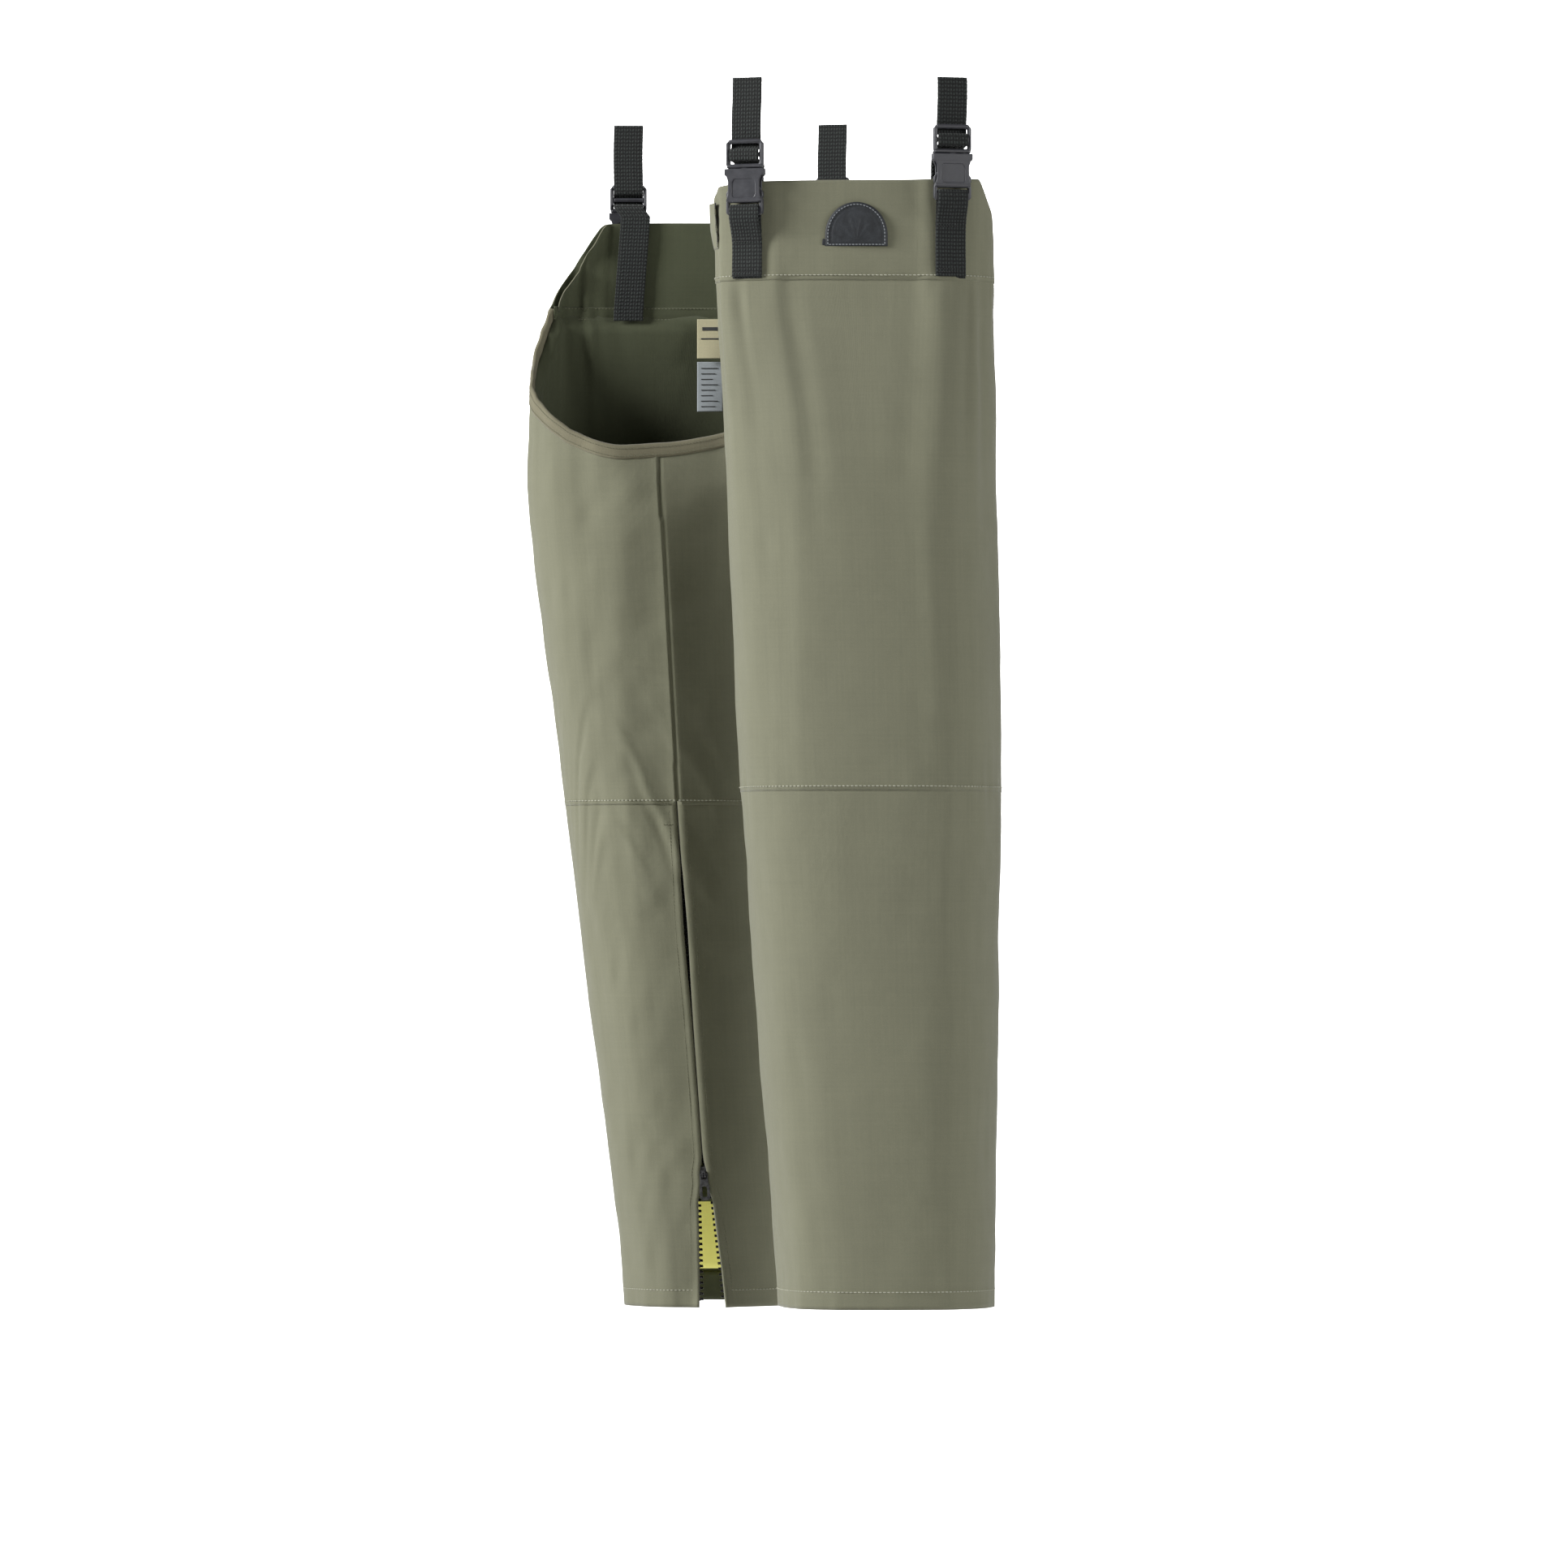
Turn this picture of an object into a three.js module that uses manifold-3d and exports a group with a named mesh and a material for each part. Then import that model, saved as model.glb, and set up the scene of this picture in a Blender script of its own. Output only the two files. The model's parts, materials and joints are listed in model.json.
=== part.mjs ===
// Chainsaw chaps: two separate full-wrap leg tubes, each hung by two webbing straps with
// side-release ladder buckles. Millimetres, +Z up, the wearer's left leg faces -Y, and the
// right leg stands behind it facing +Y. The origin is the belt line, level with the strap tails.
import * as THREE from 'three';
import { mergeVertices } from 'three/addons/utils/BufferGeometryUtils.js';
import Module from 'manifold-3d';

const wasm = await Module();
wasm.setup();

// ---- driving dimensions -------------------------------------------------------------------

const KNEE_HEIGHT = 424; // hem to the seam across the knee
const NECK_HEIGHT = 690; // hem to the widest section, just under the low back edge
const YOKE_SEAM_HEIGHT = 841; // hem to the seam under the yoke
const YOKE_HEIGHT = 80; // yoke seam to its top edge
const TAIL_TOP = 82; // tail end above the yoke's top edge

const SHELL_THICKNESS = 3;
const LINER_THICKNESS = 3;
const FACING_THICKNESS = 1.2;
const LAYER_GAP = 0.6; // between layers that lie on each other
const SEAM_GAP = 0.3; // between pieces that meet edge to edge
const BINDING_WIDTH = 12;
const FACING_WIDTH = 24;
const HEM_WIDTH = 24;
const LINER_DROP = 10; // liner's top below the seam or binding above it
const SOFT = 2.6; // power of a section's curve: 2 is an ellipse, more is squarer
const SQUARE = 3.4;
const COLUMN_ANGLE = 9; // degrees between the columns of a tube

const WEBBING_WIDTH = 25;
const WEBBING_THICKNESS = 1.4;
const BUCKLE_CLEARANCE = 0.4; // webbing to bar, male to female

const TEETH_INNER = 1; // chain centre to the teeth
const TEETH_WIDTH = 2.4;
const TAPE_WIDTH = 14;
const TAPE_THICKNESS = 0.6;
const ZIP_EDGE = 5; // chain centre to the edge of the cloth
const ZIP_OPEN_HEIGHT = 106; // hem to where the slider stands
const PARTING_LENGTH = 16; // below the slider, until the halves stand apart
const PARTED_SPREAD = 4.5; // how far each half stands off the chain there
const HEM_SPREAD = 4; // and how much farther at the hem
const ZIP_TOP_MARGIN = 12; // knee seam down to the top stop
const SLIDER_LENGTH = 12;
const SLIDER_WIDTH = 11;
const PULL_LENGTH = 22;

const TOP_HEIGHT = YOKE_SEAM_HEIGHT + YOKE_HEIGHT;
const TAIL_HEIGHT = TOP_HEIGHT + TAIL_TOP;

// Each leg: where its tube stands, the sections of the tube from hem to yoke (x of the inseam
// side, of the outseam side and of the back seam, half of its depth, and how square it is), and
// its top edge as [degrees from the front towards the outseam, millimetres below the yoke's top].
const LEGS = [
  {
    name: 'left',
    front: -1,
    place: [57, -115, 0],
    sections: [
      { z: 0, inseam: -61, outseam: 114.5, seam: 27, depth: 82, power: SOFT },
      { z: KNEE_HEIGHT, inseam: -93, outseam: 121, seam: 14, depth: 92, power: SOFT },
      { z: NECK_HEIGHT, inseam: -105, outseam: 118, seam: 6, depth: 88, power: SOFT },
      { z: YOKE_SEAM_HEIGHT, inseam: -114, outseam: 114.5, seam: 0, depth: 50, power: SQUARE },
    ],
    edge: [
      [-180, 200], [-160, 194], [-135, 165], [-112, 118], [-98, 76], [-88, 20], [-70, 5],
      [-40, 0], [56, 0], [75, 28], [90, 68], [108, 112], [135, 165], [160, 194], [180, 200],
    ],
    straps: [
      { name: 'inseam', x: -86.4, buckle: -31 },
      { name: 'outseam', x: 78.3, buckle: -19 },
    ],
  },
  {
    name: 'right',
    front: 1,
    place: [-66, 95, -8],
    sections: [
      { z: 0, inseam: -68, outseam: 121, seam: 7, depth: 72, power: SOFT },
      { z: KNEE_HEIGHT, inseam: -118, outseam: 101, seam: -24, depth: 80, power: SOFT },
      { z: NECK_HEIGHT, inseam: -151, outseam: 124, seam: -39, depth: 74, power: SOFT },
      { z: YOKE_SEAM_HEIGHT, inseam: -143, outseam: 142, seam: -40, depth: 48, power: SQUARE },
    ],
    edge: [
      [-180, 204], [-161, 198], [-135, 177], [-112, 157], [-90, 134], [-65, 85], [-33, 40],
      [-16, 2], [0, 0], [58, 4], [72, 30], [90, 72], [110, 112], [140, 152], [161, 180], [180, 204],
    ],
    straps: [
      { name: 'inseam', x: -66.8, buckle: -31 },
      { name: 'outseam', x: 105.7, buckle: -25 },
    ],
  },
];

// ---- materials ----------------------------------------------------------------------------

const shade = (color, roughness, metalness = 0) => ({ color, roughness, metalness });
const MATERIALS = {
  shell: shade(0x87866f, 0.9),
  inside: shade(0x46463a, 0.95),
  liner: shade(0xb4b45a, 0.9),
  binding: shade(0x6e6a55, 0.9),
  webbing: shade(0x262b29, 0.85),
  buckle: shade(0x4a4a4e, 0.45),
  leather: shade(0x3a3c40, 0.7),
  tape: shade(0x2a2a28, 0.9),
  teeth: shade(0x121212, 0.4),
  metal: shade(0x4c4c4c, 0.35, 0.8),
  label: shade(0xbeb896, 0.8),
};

const group = new THREE.Group();

function addMesh(parent, name, geometry, material) {
  const mesh = new THREE.Mesh(geometry, new THREE.MeshStandardMaterial(MATERIALS[material]));
  mesh.name = name;
  parent.add(mesh);
  return mesh;
}

// ---- solids -------------------------------------------------------------------------------

function toManifold(geometry) {
  const bare = geometry.clone();
  bare.deleteAttribute('normal');
  bare.deleteAttribute('uv');
  const merged = mergeVertices(bare, 1e-4);
  return new wasm.Manifold(new wasm.Mesh({
    numProp: 3,
    vertProperties: new Float32Array(merged.attributes.position.array),
    triVerts: new Uint32Array(merged.index.array),
  }));
}

function toGeometry(solid) {
  const mesh = solid.getMesh();
  const geometry = new THREE.BufferGeometry();
  geometry.setAttribute('position', new THREE.BufferAttribute(mesh.vertProperties, 3));
  geometry.setIndex(new THREE.BufferAttribute(mesh.triVerts, 1));
  geometry.computeVertexNormals();
  return geometry;
}

// A box from its low and high corners.
function box(low, high) {
  const size = high.map((value, i) => value - low[i]);
  const geometry = new THREE.BoxGeometry(...size);
  geometry.translate(...low.map((value, i) => value + size[i] / 2));
  return geometry;
}

// An outline of [x, z] points with holes, made solid from y = -half to y = +half.
function plate(outline, half, holes = []) {
  const shape = new THREE.Shape(outline.map(([x, z]) => new THREE.Vector2(x, z)));
  for (const hole of holes) {
    shape.holes.push(new THREE.Path(hole.map(([x, z]) => new THREE.Vector2(x, z))));
  }
  const geometry = new THREE.ExtrudeGeometry(shape, { depth: 2 * half, bevelEnabled: false });
  geometry.rotateX(Math.PI / 2);
  geometry.translate(0, half, 0);
  return geometry;
}

const rectangle = (x0, z0, x1, z1) => [[x0, z0], [x1, z0], [x1, z1], [x0, z1]];
const mirrored = (outline) => outline.map(([x, z]) => [-x, z]).reverse();
const symmetric = (half) => [...half, ...mirrored(half)];

// Webbing that follows a smooth path of [y, z] points, WEBBING_WIDTH wide along x.
function webbing(path, steps) {
  const curve = new THREE.CatmullRomCurve3(path.map(([y, z]) => new THREE.Vector3(y, z, 0)), false,
    'centripetal');
  const near = [];
  const far = [];
  for (let i = 0; i <= steps; i += 1) {
    const point = curve.getPoint(i / steps);
    const tangent = curve.getTangent(i / steps);
    const side = new THREE.Vector2(-tangent.y, tangent.x).multiplyScalar(WEBBING_THICKNESS / 2);
    near.push(new THREE.Vector2(point.x + side.x, point.y + side.y));
    far.unshift(new THREE.Vector2(point.x - side.x, point.y - side.y));
  }
  const geometry = new THREE.ExtrudeGeometry(new THREE.Shape([...near, ...far]), {
    depth: WEBBING_WIDTH, bevelEnabled: false,
  });
  // The shape's x, y become y, z, and its depth becomes x.
  geometry.applyMatrix4(new THREE.Matrix4().set(0, 0, 1, -WEBBING_WIDTH / 2, 1, 0, 0, 0,
    0, 1, 0, 0, 0, 0, 0, 1));
  return geometry;
}

// ---- the leg's surface --------------------------------------------------------------------

const radians = THREE.MathUtils.degToRad;
const raise = (value, power) => Math.sign(value) * Math.abs(value) ** power;

// The two sections around a height, and how far it is from the lower to the upper one.
function sectionsAround(leg, z) {
  const last = leg.sections.length - 1;
  const above = leg.sections.findIndex((section) => section.z > z);
  const upper = above < 0 ? last : Math.max(above, 1);
  const [low, high] = [leg.sections[upper - 1], leg.sections[upper]];
  return [low, high, THREE.MathUtils.clamp((z - low.z) / (high.z - low.z), 0, 1)];
}

function sectionAt(leg, z) {
  const [low, high, share] = sectionsAround(leg, z);
  const mix = (key) => THREE.MathUtils.lerp(low[key], high[key], share);
  return {
    inseam: mix('inseam'), outseam: mix('outseam'), seam: mix('seam'), depth: mix('depth'),
    power: mix('power'),
  };
}

function sectionPoint(leg, section, angle, inset) {
  const across = Math.sin(angle) < 0
    ? section.seam - section.inseam : section.outseam - section.seam;
  const x = section.seam + (across - inset) * raise(Math.sin(angle), 2 / section.power);
  const y = leg.front * (section.depth - inset) * raise(Math.cos(angle), 2 / section.power);
  return new THREE.Vector3(x, y, 0);
}

// The point at an angle from the front towards the outseam, `inset` inside the outer surface.
// The surface runs straight from each section to the next.
function surfacePoint(leg, angle, z, inset) {
  const [low, high, share] = sectionsAround(leg, z);
  const point = sectionPoint(leg, low, angle, inset);
  point.lerp(sectionPoint(leg, high, angle, inset), share);
  return point.setZ(z);
}

// The angle, from the back, at which the surface stands `offset` to one side of the back seam.
function backAngle(leg, side, offset, z) {
  const s = sectionAt(leg, z);
  const across = side < 0 ? s.seam - s.inseam : s.outseam - s.seam;
  return side * (Math.PI - Math.asin((offset / across) ** (s.power / 2)));
}

function edgeHeight(leg, angle) {
  const degrees = THREE.MathUtils.radToDeg(angle);
  const upper = Math.max(leg.edge.findIndex(([a]) => a > degrees), 1);
  const [[a0, drop0], [a1, drop1]] = degrees >= 180
    ? leg.edge.slice(-2) : [leg.edge[upper - 1], leg.edge[upper]];
  return TOP_HEIGHT - THREE.MathUtils.lerp(drop0, drop1, (degrees - a0) / (a1 - a0));
}

// A closed wall over columns of { angle, z }; a ring when `closed`, otherwise with two ends.
function wall(leg, columns, inset, thickness, closed) {
  const rows = columns[0].length;
  const positions = [];
  for (const column of columns) {
    for (const { angle, z } of column) {
      positions.push(...surfacePoint(leg, angle, z, inset).toArray());
      positions.push(...surfacePoint(leg, angle, z, inset + thickness).toArray());
    }
  }
  const index = [];
  const at = (column, row, layer) => 2 * ((column % columns.length) * rows + row) + layer;
  const quad = (a, b, c, d) => index.push(a, b, c, a, c, d);
  const spans = closed ? columns.length : columns.length - 1;
  for (let i = 0; i < spans; i += 1) {
    for (let k = 0; k < rows - 1; k += 1) {
      quad(at(i, k, 0), at(i + 1, k, 0), at(i + 1, k + 1, 0), at(i, k + 1, 0));
      quad(at(i, k, 1), at(i, k + 1, 1), at(i + 1, k + 1, 1), at(i + 1, k, 1));
    }
    quad(at(i, 0, 0), at(i, 0, 1), at(i + 1, 0, 1), at(i + 1, 0, 0));
    quad(at(i, rows - 1, 0), at(i + 1, rows - 1, 0), at(i + 1, rows - 1, 1), at(i, rows - 1, 1));
  }
  for (let k = 0; !closed && k < rows - 1; k += 1) {
    const end = columns.length - 1;
    quad(at(0, k, 0), at(0, k + 1, 0), at(0, k + 1, 1), at(0, k, 1));
    quad(at(end, k, 0), at(end, k, 1), at(end, k + 1, 1), at(end, k + 1, 0));
  }
  // The quads face out on the leg that faces -Y and in on its mirror image.
  for (let i = 0; leg.front > 0 && i < index.length; i += 3) {
    [index[i + 1], index[i + 2]] = [index[i + 2], index[i + 1]];
  }
  const geometry = new THREE.BufferGeometry();
  geometry.setAttribute('position', new THREE.Float32BufferAttribute(positions, 3));
  geometry.setIndex(index);
  geometry.computeVertexNormals();
  return geometry;
}

// Angles between two ends, on the common columns so that neighbouring layers stay parallel.
function anglesBetween(from, to) {
  const step = radians(COLUMN_ANGLE);
  const margin = step * 0.3;
  const inner = [];
  for (let k = Math.ceil((from + margin) / step); k * step < to - margin; k += 1) {
    inner.push(k * step);
  }
  return [from, ...inner, to];
}

const columnsOf = (angles, heights) => angles.map((angle) => heights(angle)
  .map((z) => ({ angle, z })));

// Columns of a tube that is open down its back, `gap(z)` either side of the back seam.
function openTube(leg, gap, heights) {
  const endRoom = 4;
  const limit = (side) => side * Math.min(...heights(side * Math.PI)
    .map((z) => Math.abs(backAngle(leg, side, gap(z) + endRoom, z))));
  const columns = columnsOf(anglesBetween(limit(-1), limit(1)), heights);
  const end = (side) => heights(side * Math.PI)
    .map((z) => ({ angle: backAngle(leg, side, gap(z), z), z }));
  return [end(-1), ...columns, end(1)];
}

// The first angle from the front, on one side, where the top edge falls below a height.
function edgeAngle(leg, side, height) {
  let angle = 0;
  while (edgeHeight(leg, side * angle) > height) {
    angle += radians(0.5);
  }
  return side * angle;
}

// ---- the leg's cloth ----------------------------------------------------------------------

const PARTED_HEIGHT = ZIP_OPEN_HEIGHT - PARTING_LENGTH;

// How far each half of the zip stands open: closed above the slider, then it parts quickly.
function zipSpread(z) {
  const parted = THREE.MathUtils.clamp((ZIP_OPEN_HEIGHT - z) / PARTING_LENGTH, 0, 1);
  return PARTED_SPREAD * parted + HEM_SPREAD * Math.max(0, 1 - z / PARTED_HEIGHT);
}

const shinRows = [0, PARTED_HEIGHT, ZIP_OPEN_HEIGHT, KNEE_HEIGHT];
const insideShell = SHELL_THICKNESS + LAYER_GAP;
const thighTop = (leg, angle) => Math.min(YOKE_SEAM_HEIGHT, edgeHeight(leg, angle) - BINDING_WIDTH);

function addShells(leg, parent) {
  const ring = anglesBetween(-Math.PI, Math.PI).slice(0, -1);
  const middle = (KNEE_HEIGHT + NECK_HEIGHT) / 2;
  const thigh = columnsOf(ring, (angle) => [KNEE_HEIGHT + SEAM_GAP, middle, NECK_HEIGHT,
    (NECK_HEIGHT + thighTop(leg, angle)) / 2, thighTop(leg, angle)]);
  addMesh(parent, `${leg.name}_thigh_shell`, wall(leg, thigh, 0, SHELL_THICKNESS, true), 'shell');

  const shin = openTube(leg, (z) => ZIP_EDGE + zipSpread(z), () => shinRows);
  addMesh(parent, `${leg.name}_shin_shell`, wall(leg, shin, 0, SHELL_THICKNESS, false), 'shell');

  const spare = 3;
  const yokeAngles = anglesBetween(edgeAngle(leg, -1, YOKE_SEAM_HEIGHT + spare),
    edgeAngle(leg, 1, YOKE_SEAM_HEIGHT + spare));
  const yoke = columnsOf(yokeAngles, (angle) => [YOKE_SEAM_HEIGHT + SEAM_GAP,
    edgeHeight(leg, angle)]);
  addMesh(parent, `${leg.name}_yoke`, wall(leg, yoke, 0, SHELL_THICKNESS, false), 'shell');

  const facingAngles = yokeAngles.filter((angle) => edgeHeight(leg, angle)
    > YOKE_SEAM_HEIGHT + FACING_WIDTH + spare);
  const facing = columnsOf(facingAngles, (angle) => [edgeHeight(leg, angle) - FACING_WIDTH,
    edgeHeight(leg, angle) - SEAM_GAP]);
  addMesh(parent, `${leg.name}_yoke_facing`,
    wall(leg, facing, insideShell, FACING_THICKNESS, false), 'inside');
}

function addBinding(leg, parent) {
  const start = edgeAngle(leg, 1, YOKE_SEAM_HEIGHT + BINDING_WIDTH - 3);
  const end = edgeAngle(leg, -1, YOKE_SEAM_HEIGHT + BINDING_WIDTH - 3);
  const angles = [...anglesBetween(start, Math.PI),
    ...anglesBetween(-Math.PI, end).slice(1)];
  const columns = columnsOf(angles, (angle) => [thighTop(leg, angle) + SEAM_GAP,
    Math.min(YOKE_SEAM_HEIGHT, edgeHeight(leg, angle))]);
  addMesh(parent, `${leg.name}_scoop_binding`,
    wall(leg, columns, 0, SHELL_THICKNESS, false), 'binding');
}

function addLining(leg, parent) {
  const backGap = ZIP_EDGE + TAPE_WIDTH + 14;
  const seamRoom = 4;
  const middle = (KNEE_HEIGHT + NECK_HEIGHT) / 2;
  const liner = openTube(leg, () => backGap, (angle) => {
    const top = thighTop(leg, angle) - LINER_DROP;
    return [HEM_WIDTH + seamRoom, KNEE_HEIGHT, middle, NECK_HEIGHT, top];
  });
  addMesh(parent, `${leg.name}_protective_liner`,
    wall(leg, liner, insideShell, LINER_THICKNESS, false), 'liner');

  const hem = openTube(leg, () => backGap, () => [SEAM_GAP, HEM_WIDTH]);
  addMesh(parent, `${leg.name}_hem_facing`,
    wall(leg, hem, insideShell, FACING_THICKNESS, false), 'inside');
}

// ---- the zip ------------------------------------------------------------------------------

const sideName = (side) => (side < 0 ? 'inseam' : 'outseam');

// A strip beside the chain from `near` to `far` of its centre.
function zipStrip(leg, side, near, far, inset, thickness, heights) {
  const column = (offset) => heights.map((z) => ({
    angle: backAngle(leg, side, offset + zipSpread(z), z), z,
  }));
  const columns = side < 0 ? [column(near), column(far)] : [column(far), column(near)];
  return wall(leg, columns, inset, thickness, false);
}

// A frame on the chain: z along it, -y out of the leg.
function chainFrame(leg, z) {
  const low = surfacePoint(leg, Math.PI, 0, 0);
  const high = surfacePoint(leg, Math.PI, KNEE_HEIGHT, 0);
  const along = high.clone().sub(low).normalize();
  const inward = new THREE.Vector3(0, leg.front, 0);
  const across = inward.clone().cross(along).normalize();
  const frame = new THREE.Group();
  frame.position.copy(low.lerp(high, z / KNEE_HEIGHT));
  frame.quaternion.setFromRotationMatrix(new THREE.Matrix4().makeBasis(across,
    along.clone().cross(across), along));
  return frame;
}

const PLATE_THICKNESS = 1.6;
const PLATE_LIFT = 0.5; // slider plate to the cloth under it
const HINGE_OUT = PLATE_LIFT + PLATE_THICKNESS + 1.4; // pull's axis to the cloth
const PULL_BAR = 1; // thickness of the pull

function sliderSolid() {
  const half = SLIDER_WIDTH / 2;
  const web = TEETH_INNER - BUCKLE_CLEARANCE;
  const top = -(PLATE_LIFT + PLATE_THICKNESS);
  const bottom = insideShell + TAPE_THICKNESS + BUCKLE_CLEARANCE + PLATE_LIFT;
  const long = SLIDER_LENGTH / 2;
  const shape = toManifold(box([-half, top, -long], [half, -PLATE_LIFT, long]))
    .add(toManifold(box([-half, bottom, -long], [half, bottom + PLATE_THICKNESS, long])))
    .add(toManifold(box([-web, top + 0.2, -long], [web, bottom + 0.2, long])));
  const lug = { x: 1.5, z: 3, out: HINGE_OUT + 1.8 };
  const bore = PULL_BAR * 0.85;
  const bridge = toManifold(box([-lug.x, -lug.out, -lug.z], [lug.x, top + 0.2, lug.z]))
    .subtract(toManifold(box([-half, -HINGE_OUT - bore, -bore], [half, -HINGE_OUT + bore, bore])));
  return toGeometry(shape.add(bridge));
}

// The pull hangs from a bar through the slider's bridge, at the frame's own origin.
function pullSolid() {
  const eye = { half: 3.4, inner: 2.2, drop: 4.4 };
  const foot = 4.2;
  const outline = symmetric([[-eye.half, PULL_BAR / 2], [-eye.half, -eye.drop - 3],
    [-foot, -eye.drop - 6], [-foot, -PULL_LENGTH + 2], [-foot + 2, -PULL_LENGTH]].reverse())
    .reverse();
  return plate(outline, PULL_BAR / 2, [rectangle(-eye.inner, -eye.drop, eye.inner,
    -PULL_BAR / 2)]);
}

function addZip(leg, parent) {
  const tapeRows = [HEM_WIDTH / 8, PARTED_HEIGHT, ZIP_OPEN_HEIGHT, KNEE_HEIGHT - ZIP_TOP_MARGIN];
  const teethTop = KNEE_HEIGHT - ZIP_TOP_MARGIN - 2;
  const teethRows = [HEM_WIDTH / 4, PARTED_HEIGHT, ZIP_OPEN_HEIGHT, teethTop];
  const teethEnd = TEETH_INNER + TEETH_WIDTH;
  for (const side of [-1, 1]) {
    const tape = zipStrip(leg, side, teethEnd + SEAM_GAP, teethEnd + TAPE_WIDTH, insideShell,
      TAPE_THICKNESS, tapeRows);
    addMesh(parent, `${leg.name}_zip_tape_${sideName(side)}`, tape, 'tape');
    const teeth = zipStrip(leg, side, TEETH_INNER, teethEnd, 1.6, SHELL_THICKNESS - 0.2, teethRows);
    addMesh(parent, `${leg.name}_zip_teeth_${sideName(side)}`, teeth, 'teeth');
  }
  const stop = chainFrame(leg, teethTop + SEAM_GAP + 2);
  parent.add(stop);
  addMesh(stop, `${leg.name}_zip_top_stop`, box([-3, 1.6, -2], [3, 4.4, 2]), 'metal');

  const slider = chainFrame(leg, ZIP_OPEN_HEIGHT + SLIDER_LENGTH / 2);
  slider.name = `${leg.name}_slider_frame`;
  parent.add(slider);
  addMesh(slider, `${leg.name}_zip_slider`, sliderSolid(), 'metal');
  const hinge = new THREE.Group();
  hinge.name = `${leg.name}_pull_frame`;
  hinge.position.y = -HINGE_OUT;
  slider.add(hinge);
  addMesh(hinge, `${leg.name}_zip_pull`, pullSolid(), 'metal');
}

// ---- straps and buckles -------------------------------------------------------------------

// Buckle heights are above its lower bar, widths are halves. -y faces out.
const FEMALE = {
  height: 38, frame: 15.5, body: 14.6, flange: 16.5, flangeHeight: 6, thickness: 4.5,
  frameThickness: 2.5, cavity: 13.2, cavityThickness: 2.7, cavityFloor: 12, barHeight: 6,
  slotHeight: 4.2, windowLow: 13, windowHigh: 30.5,
};
const MALE = {
  bottom: FEMALE.height + SEAM_GAP, height: 62, half: 15.5, base: 3.7, bar: 3.4, topBar: 3.5,
  lowerSlot: 5.6, thickness: 2, tongue: 2.4, tongueFoot: 26,
};
const SLOT_HALF = WEBBING_WIDTH / 2 + BUCKLE_CLEARANCE;
const BUCKLE_OUT = 8; // yoke surface to the buckle's middle plane
const SEWN_DROP = 2; // webbing ends below the yoke seam

function femaleSolid() {
  const f = FEMALE;
  const shoulder = 4;
  const frame = plate(symmetric([[f.frame - 2, 0], [f.frame, 2], [f.frame, 11],
    [f.body, 11 + shoulder]]), f.frameThickness);
  const body = plate(symmetric([[f.body - 1.5, f.cavityFloor - 1.4], [f.body, f.cavityFloor + 2],
    [f.body, f.height - f.flangeHeight - 2], [f.flange, f.height - f.flangeHeight],
    [f.flange, f.height]]), f.thickness);
  return toGeometry(toManifold(frame).add(toManifold(body))
    .subtract(toManifold(box([-f.cavity, -f.cavityThickness, f.cavityFloor],
      [f.cavity, f.cavityThickness, f.height + 1])))
    .subtract(toManifold(box([-20, -f.cavityThickness, f.windowLow],
      [20, f.cavityThickness, f.windowHigh])))
    .subtract(toManifold(box([-SLOT_HALF, -10, f.barHeight],
      [SLOT_HALF, 10, f.barHeight + f.slotHeight]))));
}

function maleSolid() {
  const m = MALE;
  const low = m.bottom + m.base;
  const high = low + m.lowerSlot + m.bar;
  const outline = symmetric([[m.tongue, m.tongueFoot], [m.tongue, m.bottom], [m.half, m.bottom],
    [m.half, m.height - 2], [m.half - 2, m.height]]);
  return plate(outline, m.thickness, [
    rectangle(-SLOT_HALF, low, SLOT_HALF, low + m.lowerSlot),
    rectangle(-SLOT_HALF, high, SLOT_HALF, m.height - m.topBar),
  ]);
}

// The outseam-side arm; its tab fills the female's side window. Heights as on the buckle.
function armSolid(side) {
  const top = FEMALE.height - 0.2;
  const outline = [[7.6, top], [8.2, 20], [9, 13.6], [14.4, 13.6], [15.6, 14.8], [15.6, 18.6],
    [12.4, 23.2], [11, 24.2], [10.6, top]];
  return plate(side < 0 ? mirrored(outline) : outline, MALE.thickness);
}

// The outer strap: two layers sewn on the yoke, looped round the female's lower bar.
function outerStrapPath(buckleHeight) {
  const foot = YOKE_SEAM_HEIGHT - SEWN_DROP;
  const half = WEBBING_THICKNESS / 2;
  const inner = -(0.5 + half);
  const outer = inner - WEBBING_THICKNESS - BUCKLE_CLEARANCE;
  const reach = FEMALE.frameThickness + BUCKLE_CLEARANCE + half;
  const back = reach - BUCKLE_OUT;
  const front = -reach - BUCKLE_OUT;
  const slot = buckleHeight + FEMALE.barHeight + FEMALE.slotHeight / 2;
  return [[inner, foot], [inner, buckleHeight - 20], [back, buckleHeight - 2],
    [back, slot - 2], [back - 1.2, slot - 0.2], [-BUCKLE_OUT, slot + 0.1],
    [front + 1.2, slot - 0.2], [front, slot - 2], [front, buckleHeight - 2],
    [outer, buckleHeight - 20], [outer, foot]];
}

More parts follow.
